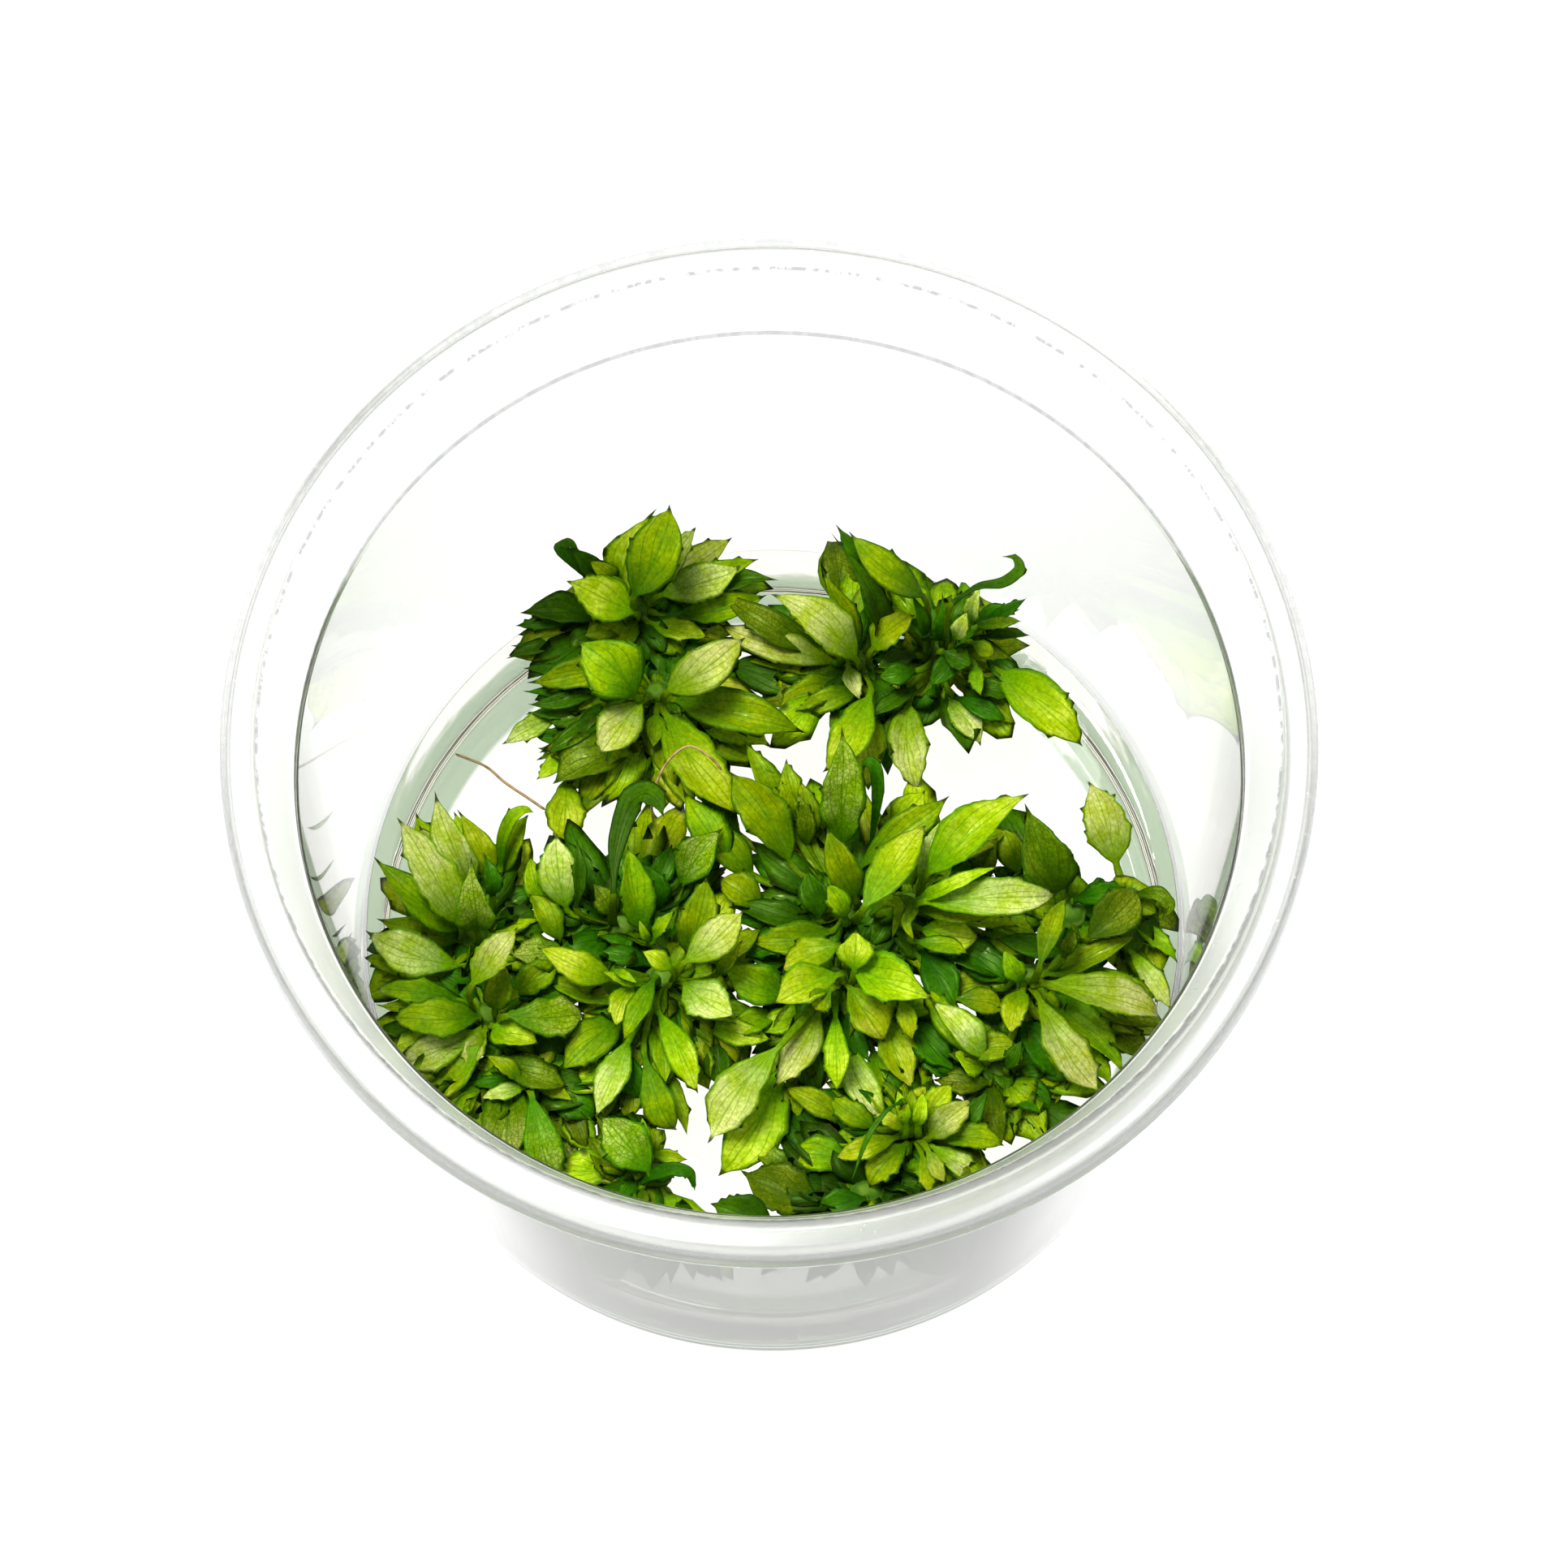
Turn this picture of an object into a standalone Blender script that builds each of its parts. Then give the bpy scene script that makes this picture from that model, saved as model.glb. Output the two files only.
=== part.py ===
"""Plantlets of a dwarf anubias in a clear tissue-culture cup, standing on agar gel.

Lengths are metres, +Z is up, and the origin is the middle of the cup's underside. The leaf lists hold
millimetres. They were read by eye in a level plane SIGHT_HEIGHT above the base, looking down from the
front, so every point moves along the line of sight to its own height.
"""

import math

import bmesh
import bpy
from mathutils import Vector
from mathutils.bvhtree import BVHTree

MM = 0.001

# Cup: a thin-walled tub with a stacking shoulder, a collar and a rolled rim
CUP_HEIGHT = 65.0 * MM
RIM_RADIUS = 50.0 * MM
BASE_RADIUS = 39.6 * MM
SHOULDER_HEIGHT = 56.5 * MM
SHOULDER_RADIUS = 43.4 * MM
SHOULDER_STEP = 0.7 * MM
COLLAR_RADIUS = 45.6 * MM
RIM_DEPTH = 3.2 * MM
RIM_CORNER = 0.6 * MM
RIM_TURN = 1.6 * MM
WALL = 0.7 * MM
FLOOR = 0.9 * MM
FOOT_ROUND = 1.4 * MM
FOOT_BEVEL = 0.5 * MM
CUP_STEPS = 36

# Gel: a clear slab with a low meniscus where it meets the wall
GEL_TOP = 13.0 * MM
MENISCUS = 0.9 * MM
MENISCUS_WIDTH = 3.0 * MM
GEL_FOOT = 2.0 * MM
GAP = 0.3 * MM

# The eye looks down from the front, so a point that is higher was read further back
SIGHT_HEIGHT = 22.0
SIGHT_SLOPE = 0.4

# Leaves: thickness of a blade, and how far leaves keep from each other, from the wall and from the gel
LEAF_THICKNESS = 0.45 * MM
LEAF_CLEARANCE = 0.34 * MM
EDGE_MARGIN = 0.68 * MM

# Petioles: width at the crown, how much wider at the blade, and where they start on the crown
PETIOLE_WIDTH = 1.1 * MM
PETIOLE_FLARE = 1.3
PETIOLE_AHEAD = 1.0 * MM
PETIOLE_INSIDE = 0.6 * MM
PETIOLE_ABOVE = 0.9 * MM

# A blade arches along its length and its edges stand up, as shares of its length and width
ARCH_SHARE = 0.13
CUP_SHARE = 0.16

# Outline of a blade: how fast it widens from its base and narrows to its tip
BASE_POWER = 0.62
TIP_POWER = 0.74

# Crowns: the short rhizomes, as flattened balls on the gel, in millimetres
CROWN_HEIGHT = 15.3
CROWN_SIZE = (2.1, 1.8, 1.75)
CROWN_SIDES = 6
CROWN_RINGS = 4

# A leaf that touches another rises by these steps in millimetres: most steps for its base, for its tip
# and down for its tip. Raising the base counts for a little more than raising the tip.
LIFT_STEP = 0.5
LOW_STEPS = 16
HIGH_STEPS = 24
DROP_STEPS = 3
LOW_COST = 1.2

TONES = {
    "pale": ((0.50, 0.62, 0.16), 0.42),
    "lime": ((0.38, 0.55, 0.05), 0.40),
    "green": ((0.18, 0.36, 0.03), 0.40),
    "dark": ((0.04, 0.14, 0.02), 0.42),
    "olive": ((0.22, 0.24, 0.05), 0.50),
    "mottled": ((0.16, 0.26, 0.08), 0.45),
}

# One row a leaf: blade base x, y, tip x, y, width, height of the base, height of the tip, tone.
# "own" leaves are pieces of their own, "joined" ones grow together with the crown.
PLANTLETS = {
    "back_left_upper": {
        "crown": (-13.0, 30.0),
        "own": [
            (-12.8, 31.5, -8.6, 40.4, 5.4, 19.0, 33.0, "green"),
            (-13.0, 29.8, -19.4, 33.5, 4.8, 19.0, 25.0, "lime"),
        ],
        "joined": [
            (-10.5, 31.6, -2.0, 34.2, 4.2, 18.0, 22.5, "pale"),
            (-14.5, 32.5, -11.8, 40.6, 5.0, 17.5, 30.0, "lime"),
            (-10.0, 33.5, -3.2, 37.6, 3.4, 16.5, 20.0, "pale"),
            (-15.6, 31.5, -19.3, 37.0, 3.0, 17.0, 27.0, "dark"),
            (-8.5, 31.0, 0.9, 33.4, 2.6, 16.0, 21.0, "dark"),
            (-16.0, 29.5, -24.3, 30.0, 3.6, 16.0, 19.0, "dark"),
            (-17.0, 28.0, -24.8, 27.6, 3.0, 15.0, 17.0, "dark"),
            (-11.5, 28.7, -5.7, 26.9, 3.0, 17.0, 18.0, "lime"),
        ],
    },
    "back_left_lower": {
        "crown": (-10.8, 20.8),
        "own": [
            (-13.0, 21.0, -18.4, 27.0, 6.4, 20.0, 27.0, "green"),
            (-9.6, 21.4, -2.3, 27.0, 4.6, 21.0, 27.0, "pale"),
            (-12.4, 20.3, -16.5, 14.8, 4.6, 19.0, 22.0, "pale"),
            (-10.0, 18.8, -3.5, 8.0, 5.2, 17.5, 19.5, "lime"),
        ],
        "joined": [
            (-9.0, 20.4, 3.6, 17.0, 4.6, 17.5, 19.5, "green"),
            (-13.0, 16.0, -21.3, 11.8, 5.6, 15.5, 16.5, "olive"),
            (-13.5, 24.0, -23.5, 22.3, 3.2, 16.5, 18.5, "green"),
            (-14.5, 21.5, -22.3, 18.5, 4.2, 16.0, 16.5, "dark"),
            (-8.0, 19.2, 0.5, 15.6, 4.0, 16.0, 16.5, "lime"),
            (-3.5, 24.0, 4.5, 21.3, 3.8, 15.5, 16.0, "dark"),
            (-15.0, 18.0, -22.8, 14.0, 3.0, 14.8, 15.2, "olive"),
        ],
    },
    "back_middle": {
        "crown": (9.0, 23.8),
        "own": [
            (8.6, 24.4, 0.3, 31.8, 4.8, 18.0, 22.0, "pale"),
            (10.4, 25.4, 14.7, 29.2, 4.0, 21.0, 25.0, "lime"),
        ],
        "joined": [
            (10.0, 20.5, 5.5, 12.3, 4.2, 18.0, 20.0, "lime"),
            (10.3, 27.0, 6.8, 37.0, 2.8, 19.0, 32.0, "dark"),
            (8.6, 25.4, 5.3, 33.6, 2.6, 19.0, 28.0, "green"),
            (7.0, 24.0, -5.0, 28.3, 3.6, 16.5, 17.5, "pale"),
            (7.5, 22.0, 0.6, 18.8, 3.6, 16.0, 16.0, "green"),
            (11.8, 26.5, 9.2, 32.6, 2.2, 18.0, 25.0, "dark"),
        ],
    },
    "back_right": {
        "crown": (17.0, 24.5),
        "own": [
            (18.0, 30.0, 24.6, 34.6, 1.5, 23.0, 30.0, "dark"),
            (15.3, 30.8, 8.0, 37.2, 3.6, 20.0, 30.0, "green"),
        ],
        "joined": [
            (23.2, 22.6, 31.0, 15.0, 5.0, 18.0, 19.0, "lime"),
            (14.2, 19.4, 14.3, 10.4, 3.2, 17.0, 17.5, "pale"),
            (20.3, 28.3, 20.9, 31.8, 1.8, 22.0, 27.0, "pale"),
            (20.5, 27.8, 25.0, 29.2, 2.2, 20.0, 23.0, "dark"),
            (21.8, 25.0, 24.6, 20.6, 2.6, 17.0, 17.0, "dark"),
            (18.4, 20.3, 23.6, 17.6, 2.2, 16.5, 17.5, "dark"),
            (17.5, 20.2, 21.0, 15.0, 3.2, 15.5, 15.5, "pale"),
            (14.5, 21.2, 9.8, 18.2, 2.0, 17.5, 19.0, "dark"),
            (14.6, 24.6, 10.6, 23.4, 2.6, 18.5, 19.5, "dark"),
            (17.2, 26.5, 17.4, 30.6, 2.2, 20.0, 27.0, "dark"),
            (19.0, 25.5, 20.6, 26.8, 2.4, 22.0, 26.0, "dark"),
        ],
    },
    "left": {
        "crown": (-29.3, -4.0),
        "own": [
            (-30.3, -3.0, -38.5, 4.5, 4.2, 18.0, 24.0, "green"),
            (-30.2, -2.2, -35.8, 9.0, 4.4, 19.0, 27.0, "pale"),
            (-28.6, -3.0, -29.0, 4.2, 4.0, 21.0, 28.0, "mottled"),
        ],
        "joined": [
            (-29.2, 1.0, -32.7, 11.0, 4.0, 17.5, 23.0, "pale"),
            (-30.4, -7.0, -39.3, -3.4, 4.6, 17.5, 20.0, "pale"),
            (-30.5, -4.4, -38.2, -2.0, 3.0, 17.0, 19.0, "green"),
            (-27.5, 2.0, -30.2, 9.2, 3.0, 16.5, 20.0, "lime"),
            (-26.2, 2.5, -23.4, 9.3, 2.4, 17.0, 22.0, "green"),
        ],
    },
    "left_front": {
        "crown": (-27.8, -12.6),
        "own": [
            (-28.6, -12.2, -37.0, -11.8, 4.2, 18.0, 19.5, "green"),
            (-28.8, -8.6, -24.4, -2.8, 3.4, 22.0, 26.0, "pale"),
            (-25.6, -12.0, -17.9, -11.8, 4.6, 17.5, 18.5, "mottled"),
        ],
        "joined": [
            (-28.6, -13.6, -36.6, -16.8, 4.0, 16.5, 16.5, "pale"),
            (-26.8, -13.2, -23.0, -15.0, 3.6, 18.5, 19.5, "pale"),
            (-26.9, -11.4, -25.8, -6.0, 3.0, 19.0, 23.0, "green"),
            (-30.2, -9.4, -40.0, -5.8, 2.8, 16.0, 17.5, "green"),
            (-27.9, -13.6, -29.6, -17.6, 2.2, 17.5, 18.0, "pale"),
            (-28.4, -15.0, -32.6, -20.6, 4.2, 14.8, 15.0, "lime"),
        ],
    },
    "left_low": {
        "crown": (-24.0, -19.3),
        "own": [
            (-23.4, -20.2, -21.0, -28.6, 4.0, 16.5, 16.5, "pale"),
        ],
        "joined": [
            (-25.0, -16.6, -20.3, -18.6, 3.6, 18.0, 18.5, "olive"),
            (-25.2, -20.6, -25.2, -27.4, 3.6, 16.0, 16.0, "lime"),
            (-26.0, -20.4, -29.6, -24.6, 2.6, 15.3, 15.0, "green"),
            (-24.6, -19.4, -28.5, -20.2, 2.0, 18.0, 18.5, "pale"),
            (-21.8, -20.4, -19.2, -26.0, 2.6, 15.5, 15.3, "olive"),
        ],
    },
    "middle_left": {
        "crown": (-14.8, -3.5),
        "own": [
            (-15.6, 0.5, -12.8, 10.8, 3.6, 18.0, 31.0, "dark"),
            (-12.4, -3.6, -13.9, 5.6, 3.6, 20.0, 26.0, "green"),
        ],
        "joined": [
            (-20.0, -1.2, -20.9, 6.9, 4.4, 18.0, 23.0, "pale"),
            (-11.2, -1.5, -12.6, 4.0, 3.4, 17.0, 20.0, "dark"),
            (-15.2, -2.0, -17.4, 1.7, 2.6, 17.0, 19.0, "olive"),
            (-19.6, -4.6, -25.3, -5.4, 3.8, 17.0, 18.5, "pale"),
            (-22.0, -1.5, -23.5, 4.5, 2.6, 16.5, 18.5, "green"),
        ],
    },
    "middle": {
        "crown": (-10.8, -9.0),
        "own": [
            (-8.6, -6.8, -2.7, -1.4, 4.2, 23.0, 26.0, "pale"),
            (-8.6, -9.0, -3.8, -12.6, 4.4, 21.0, 22.5, "pale"),
            (-15.6, -8.6, -22.8, -4.8, 3.6, 19.0, 21.0, "lime"),
        ],
        "joined": [
            (-8.2, -6.0, -6.0, 2.4, 4.0, 20.0, 25.0, "green"),
            (-8.8, 0.8, -5.0, 6.9, 4.2, 17.5, 21.0, "mottled"),
            (-10.6, -12.0, -7.4, -18.2, 3.0, 18.5, 19.5, "lime"),
            (-14.6, -12.8, -20.6, -18.0, 4.8, 17.0, 17.5, "green"),
            (-12.8, -9.6, -15.6, -13.3, 2.6, 19.5, 20.5, "pale"),
            (-11.2, -13.0, -10.6, -19.6, 2.6, 17.0, 17.5, "green"),
            (-14.0, -15.2, -18.7, -21.4, 3.0, 16.2, 16.2, "pale"),
            (-11.8, -17.2, -10.0, -24.8, 2.8, 15.3, 15.2, "green"),
            (-7.2, -13.2, -0.2, -15.2, 2.8, 17.0, 17.0, "lime"),
        ],
    },
    "centre": {
        "crown": (7.4, -2.6),
        "own": [
            (7.0, 5.0, 7.4, 16.6, 4.6, 19.0, 29.0, "mottled"),
            (1.8, 3.2, -3.8, 12.9, 5.2, 18.0, 22.0, "green"),
            (8.8, -1.4, 15.0, 7.2, 4.2, 21.0, 25.5, "lime"),
        ],
        "joined": [
            (8.0, -0.4, 5.4, 6.9, 3.4, 20.0, 25.0, "green"),
            (8.8, 2.4, 17.2, 9.0, 3.6, 18.0, 21.5, "green"),
            (7.0, -2.6, 5.2, 1.4, 2.4, 22.0, 25.0, "green"),
            (4.5, -2.8, 3.4, 2.6, 3.2, 18.0, 20.5, "dark"),
            (4.0, 5.6, 3.0, 11.8, 2.8, 17.5, 21.0, "green"),
            (12.0, 6.4, 15.4, 10.4, 3.6, 17.0, 19.0, "lime"),
            (-1.0, -1.4, -5.2, 1.6, 3.6, 16.5, 17.5, "green"),
        ],
    },
    "centre_right": {
        "crown": (13.2, -1.8),
        "own": [
            (15.2, 2.0, 24.8, 10.1, 4.8, 19.0, 27.0, "lime"),
            (14.6, -1.0, 27.8, -0.8, 4.0, 20.5, 23.5, "pale"),
        ],
        "joined": [
            (14.2, 0.4, 16.4, 7.6, 2.4, 21.0, 27.0, "pale"),
            (14.8, -0.2, 21.7, 2.9, 1.8, 21.0, 24.5, "lime"),
            (14.2, -4.0, 20.0, -4.9, 3.4, 18.5, 19.5, "lime"),
            (14.0, -1.9, 22.7, -2.4, 2.2, 18.0, 19.0, "green"),
        ],
    },
    "centre_front": {
        "crown": (6.4, -9.4),
        "own": [
            (8.6, -6.8, 15.2, -10.8, 4.4, 22.0, 23.0, "lime"),
            (5.4, -9.2, 0.0, -11.0, 3.8, 21.5, 22.5, "lime"),
            (0.6, -15.4, -6.2, -25.2, 5.0, 18.5, 18.0, "pale"),
        ],
        "joined": [
            (4.4, -12.2, 0.0, -20.0, 3.8, 19.0, 19.5, "pale"),
            (0.4, -18.6, -5.8, -28.2, 5.2, 15.8, 15.4, "lime"),
            (6.0, -12.0, 5.8, -19.4, 2.4, 18.5, 19.0, "lime"),
            (7.6, -7.6, 8.5, -3.8, 3.4, 20.0, 22.0, "lime"),
            (5.4, -8.4, 0.8, -6.4, 3.6, 19.0, 20.5, "green"),
            (7.6, -10.6, 11.0, -15.6, 4.2, 19.0, 19.0, "lime"),
            (6.8, -15.6, 10.4, -23.8, 3.4, 16.5, 16.2, "pale"),
            (10.2, -14.2, 12.7, -20.3, 3.8, 17.0, 17.0, "lime"),
            (1.0, -10.8, -5.0, -7.4, 4.2, 17.5, 18.5, "green"),
        ],
    },
    "front": {
        "crown": (13.0, -25.0),
        "own": [],
        "joined": [
            (15.0, -25.4, 21.6, -26.0, 3.0, 17.5, 17.8, "green"),
            (14.6, -24.6, 19.4, -21.8, 3.0, 18.5, 20.0, "pale"),
            (12.2, -26.2, 8.6, -29.6, 3.4, 17.0, 16.6, "dark"),
            (12.9, -23.8, 12.9, -20.0, 2.2, 19.5, 22.0, "green"),
            (14.0, -23.8, 17.0, -19.8, 2.8, 18.0, 19.5, "lime"),
            (11.4, -24.6, 4.8, -25.6, 2.8, 16.8, 17.0, "green"),
            (9.4, -24.2, 5.0, -21.0, 2.8, 16.5, 17.3, "green"),
            (7.2, -24.4, 0.7, -19.8, 2.6, 15.8, 16.4, "green"),
            (13.6, -26.6, 14.3, -31.0, 2.2, 16.6, 16.2, "lime"),
            (14.6, -26.4, 18.8, -29.8, 2.8, 16.0, 16.0, "pale"),
        ],
    },
    "front_low": {
        "crown": (8.5, -31.0),
        "own": [
            (3.8, -32.6, -4.0, -28.6, 4.8, 16.0, 17.2, "olive"),
        ],
        "joined": [
            (7.2, -29.4, 0.8, -27.0, 3.6, 16.0, 16.0, "green"),
            (6.8, -31.4, 2.6, -31.2, 3.4, 15.4, 15.4, "dark"),
            (10.4, -30.8, 15.0, -32.0, 3.2, 15.6, 15.4, "dark"),
            (8.6, -33.0, 7.0, -38.6, 3.6, 16.0, 18.0, "dark"),
        ],
    },
    "right": {
        "crown": (24.6, -9.5),
        "own": [
            (26.2, -9.6, 37.6, -13.4, 4.2, 20.5, 21.0, "pale"),
            (25.4, -11.0, 30.9, -21.0, 4.4, 19.0, 19.0, "pale"),
            (25.4, -7.8, 28.0, -0.6, 2.4, 21.5, 27.0, "green"),
        ],
        "joined": [
            (26.2, -8.9, 35.4, -5.0, 3.0, 18.5, 21.0, "green"),
            (26.4, -11.2, 33.3, -18.5, 3.6, 17.0, 17.0, "green"),
            (24.0, -10.6, 22.8, -15.0, 2.8, 19.0, 19.5, "lime"),
            (24.0, -9.6, 22.2, -5.9, 2.2, 19.5, 22.0, "green"),
            (27.4, -11.6, 36.0, -15.8, 3.2, 15.6, 15.6, "olive"),
            (23.0, -8.8, 15.5, -6.8, 4.2, 16.5, 17.0, "dark"),
        ],
    },
    "right_back": {
        "crown": (29.0, -3.2),
        "own": [
            (27.6, -0.4, 25.0, 8.3, 5.6, 18.5, 25.0, "mottled"),
            (30.4, -4.8, 35.4, -0.6, 4.6, 18.5, 22.0, "mottled"),
        ],
        "joined": [
            (29.4, -1.4, 34.4, -0.1, 2.2, 17.5, 20.0, "dark"),
        ],
    },
    "right_edge": {
        "crown": (34.6, -1.6),
        "own": [
            (33.7, 2.2, 31.4, 11.3, 4.6, 17.0, 19.0, "pale"),
        ],
        "joined": [
            (35.6, -1.8, 38.6, -2.8, 2.8, 17.0, 18.0, "dark"),
            (35.0, -3.8, 39.4, -8.0, 2.0, 16.0, 17.0, "green"),
        ],
    },
    "right_front": {
        "crown": (21.5, -19.0),
        "own": [],
        "joined": [
            (20.2, -17.4, 15.2, -11.4, 3.4, 18.5, 20.5, "pale"),
            (20.2, -18.4, 17.2, -16.8, 3.6, 17.5, 18.5, "lime"),
            (20.9, -20.2, 21.8, -26.4, 2.6, 16.2, 15.8, "olive"),
            (22.6, -20.6, 26.7, -22.8, 3.6, 16.0, 15.8, "dark"),
            (22.3, -18.4, 23.8, -15.6, 1.8, 18.0, 20.0, "dark"),
            (23.6, -18.0, 28.4, -20.0, 3.6, 15.8, 16.0, "green"),
        ],
    },
    "front_left": {
        "crown": (-12.0, -28.8),
        "own": [
            (-12.4, -27.2, -16.8, -22.6, 4.8, 17.5, 19.5, "pale"),
        ],
        "joined": [
            (-11.0, -29.0, -8.0, -28.8, 2.4, 16.5, 17.0, "dark"),
            (-12.0, -27.4, -8.4, -25.6, 2.4, 16.0, 16.8, "olive"),
            (-13.4, -29.6, -18.6, -29.4, 2.6, 15.4, 15.4, "olive"),
            (-12.4, -30.8, -10.6, -36.0, 2.6, 15.5, 16.5, "green"),
        ],
    },
}

# Stations along a leaf: where the petiole starts, the blade's base, and places up to the tip
OWN_STATIONS = (0.0, 0.0, 0.28, 0.64, 1.0)
JOINED_STATIONS = (0.0, 0.0, 0.50, 1.0)

# A blade with few stations has straight edges, so it is made a little wider to cover the same area
OWN_FULLNESS = 1.08
JOINED_FULLNESS = 1.2


def clear_scene():
    for item in list(bpy.data.objects):
        bpy.data.objects.remove(item, do_unlink=True)


def new_collection(name):
    collection = bpy.data.collections.new(name)
    bpy.context.scene.collection.children.link(collection)
    return collection


def material(name, color, roughness, alpha=1.0, ior=1.45):
    made = bpy.data.materials.get(name)
    if made is None:
        made = bpy.data.materials.new(name)
        made.use_nodes = True
        shader = made.node_tree.nodes["Principled BSDF"]
        shader.inputs["Base Color"].default_value = (*color, 1.0)
        shader.inputs["Roughness"].default_value = roughness
        shader.inputs["Metallic"].default_value = 0.0
        shader.inputs["Transmission Weight"].default_value = 1.0 - alpha
        shader.inputs["IOR"].default_value = ior
        made.diffuse_color = (*color, alpha)
    return made


def mesh_object(name, mesh, collection, finish):
    made = bpy.data.objects.new(name, mesh)
    mesh.materials.append(finish)
    collection.objects.link(made)
    return made


def turned(name, profile, collection, finish):
    """A solid of revolution: the profile at +X runs down its outer side, spun by a Screw modifier."""
    shape = bmesh.new()
    points = [shape.verts.new((radius, 0.0, height)) for radius, height in profile]
    for first, second in zip(points, points[1:]):
        shape.edges.new((first, second))
    mesh = bpy.data.meshes.new(name)
    shape.to_mesh(mesh)
    shape.free()
    made = mesh_object(name, mesh, collection, finish)
    spin = made.modifiers.new("Turn", "SCREW")
    spin.steps = CUP_STEPS
    spin.render_steps = CUP_STEPS
    spin.use_merge_vertices = True
    spin.merge_threshold = 0.00001
    return made


def inner_radius(height):
    """Radius of the cup's inner wall at a height below the shoulder."""
    share = height / SHOULDER_HEIGHT
    return BASE_RADIUS + (SHOULDER_RADIUS - BASE_RADIUS) * share - WALL


def cup_profile():
    """Up the inside from the middle of the floor, over the rim, and down the outside to the underside."""
    step_top = SHOULDER_HEIGHT + SHOULDER_STEP
    collar_foot = SHOULDER_RADIUS + SHOULDER_STEP
    rim_foot = CUP_HEIGHT - RIM_DEPTH
    under_rim = CUP_HEIGHT - WALL
    return [
        (0.0, FLOOR),
        (inner_radius(FLOOR) - FOOT_ROUND, FLOOR),
        (inner_radius(FLOOR), FLOOR + FOOT_ROUND),
        (inner_radius(SHOULDER_HEIGHT), SHOULDER_HEIGHT),
        (collar_foot - WALL, step_top),
        (COLLAR_RADIUS - WALL, under_rim),
        (COLLAR_RADIUS, CUP_HEIGHT),
        (RIM_RADIUS - WALL, CUP_HEIGHT - RIM_CORNER),
        (RIM_RADIUS, CUP_HEIGHT - RIM_TURN),
        (RIM_RADIUS, rim_foot),
        (RIM_RADIUS - WALL, rim_foot),
        (RIM_RADIUS - 2.0 * WALL, CUP_HEIGHT - RIM_TURN),
        (COLLAR_RADIUS + WALL, under_rim),
        (collar_foot, step_top - WALL / 2.0),
        (SHOULDER_RADIUS, SHOULDER_HEIGHT - WALL / 2.0),
        (BASE_RADIUS, FOOT_ROUND),
        (BASE_RADIUS - FOOT_BEVEL, FOOT_BEVEL),
        (BASE_RADIUS - FOOT_ROUND, 0.0),
        (0.0, 0.0),
    ]


def gel_profile():
    """From the middle of the gel's top out to its meniscus, and down round its foot."""
    foot = FLOOR + GAP
    return [
        (0.0, GEL_TOP),
        (inner_radius(GEL_TOP) - MENISCUS_WIDTH, GEL_TOP),
        (inner_radius(GEL_TOP) - GAP, GEL_TOP + MENISCUS),
        (inner_radius(foot) - GAP, foot + GEL_FOOT),
        (inner_radius(foot) - GEL_FOOT, foot),
        (0.0, foot),
    ]


def placed(seen_x, seen_y, height):
    """The point at a height, in millimetres, that was read at (seen_x, seen_y) in the sight plane."""
    return Vector((seen_x, seen_y - (height - SIGHT_HEIGHT) * SIGHT_SLOPE, height))


def kept_inside(point, margin):
    """A point moved in from the wall and up from the gel, as a leaf that presses on them bends."""
    radius = math.hypot(point.x, point.y)
    reach = inner_radius(point.z) - margin
    if radius > reach:
        point.x *= reach / radius
        point.y *= reach / radius
    lowest = GEL_TOP + margin
    if radius > inner_radius(GEL_TOP) - MENISCUS_WIDTH - margin:
        lowest += MENISCUS
    point.z = max(point.z, lowest)
    return point


def blade_width(share):
    """Width of a blade as a share of its widest, from its base (0) to its tip (1)."""
    widest_at = BASE_POWER / (BASE_POWER + TIP_POWER)
    widest = widest_at ** BASE_POWER * (1.0 - widest_at) ** TIP_POWER
    return share ** BASE_POWER * (1.0 - share) ** TIP_POWER / widest


def leaf_surface(row, start, stations, extra):
    """The middle surface of one leaf: a grid three points wide, shaped along its own line."""
    base_x, base_y, tip_x, tip_y, width, low, high, _ = row
    base = placed(base_x, base_y, low) * MM
    tip = placed(tip_x, tip_y, high) * MM
    along = tip - base
    length = along.length
    along.normalize()
    upward = Vector((0.0, 0.0, 1.0)) - along * along.z
    upward.normalize()
    side = along.cross(upward)
    arch = ARCH_SHARE * length
    cup = CUP_SHARE * width * MM
    shape = bmesh.new()
    bmesh.ops.create_grid(shape, x_segments=len(stations) - 1, y_segments=2, size=0.5)
    last = len(stations) - 1
    tips = []
    starts = []
    for vert in shape.verts:
        place = round((vert.co.x + 0.5) * last)
        across = round(vert.co.y * 2.0)
        share = stations[place]
        if place == 0 and stations is JOINED_STATIONS:
            point = start.copy()
            starts.append(vert)
        elif place == 0:
            point = start + side * across * (PETIOLE_WIDTH + extra) / 2.0
        elif place == 1:
            point = base + side * across * (PETIOLE_WIDTH * PETIOLE_FLARE + extra) / 2.0
        elif place == last:
            point = tip.copy()
            tips.append(vert)
        else:
            fullness = JOINED_FULLNESS if stations is JOINED_STATIONS else OWN_FULLNESS
            spread = blade_width(share) * (width * fullness * MM + extra) / 2.0
            middle = base + along * length * share + upward * arch * 4.0 * share * (1.0 - share)
            point = middle + side * across * spread + upward * cup * abs(across)
        vert.co = kept_inside(point, EDGE_MARGIN)
    bmesh.ops.pointmerge(shape, verts=tips, merge_co=tips[0].co)
    if starts:
        bmesh.ops.pointmerge(shape, verts=starts, merge_co=starts[0].co)
    bmesh.ops.recalc_face_normals(shape, faces=shape.faces[:])
    return shape


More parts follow.
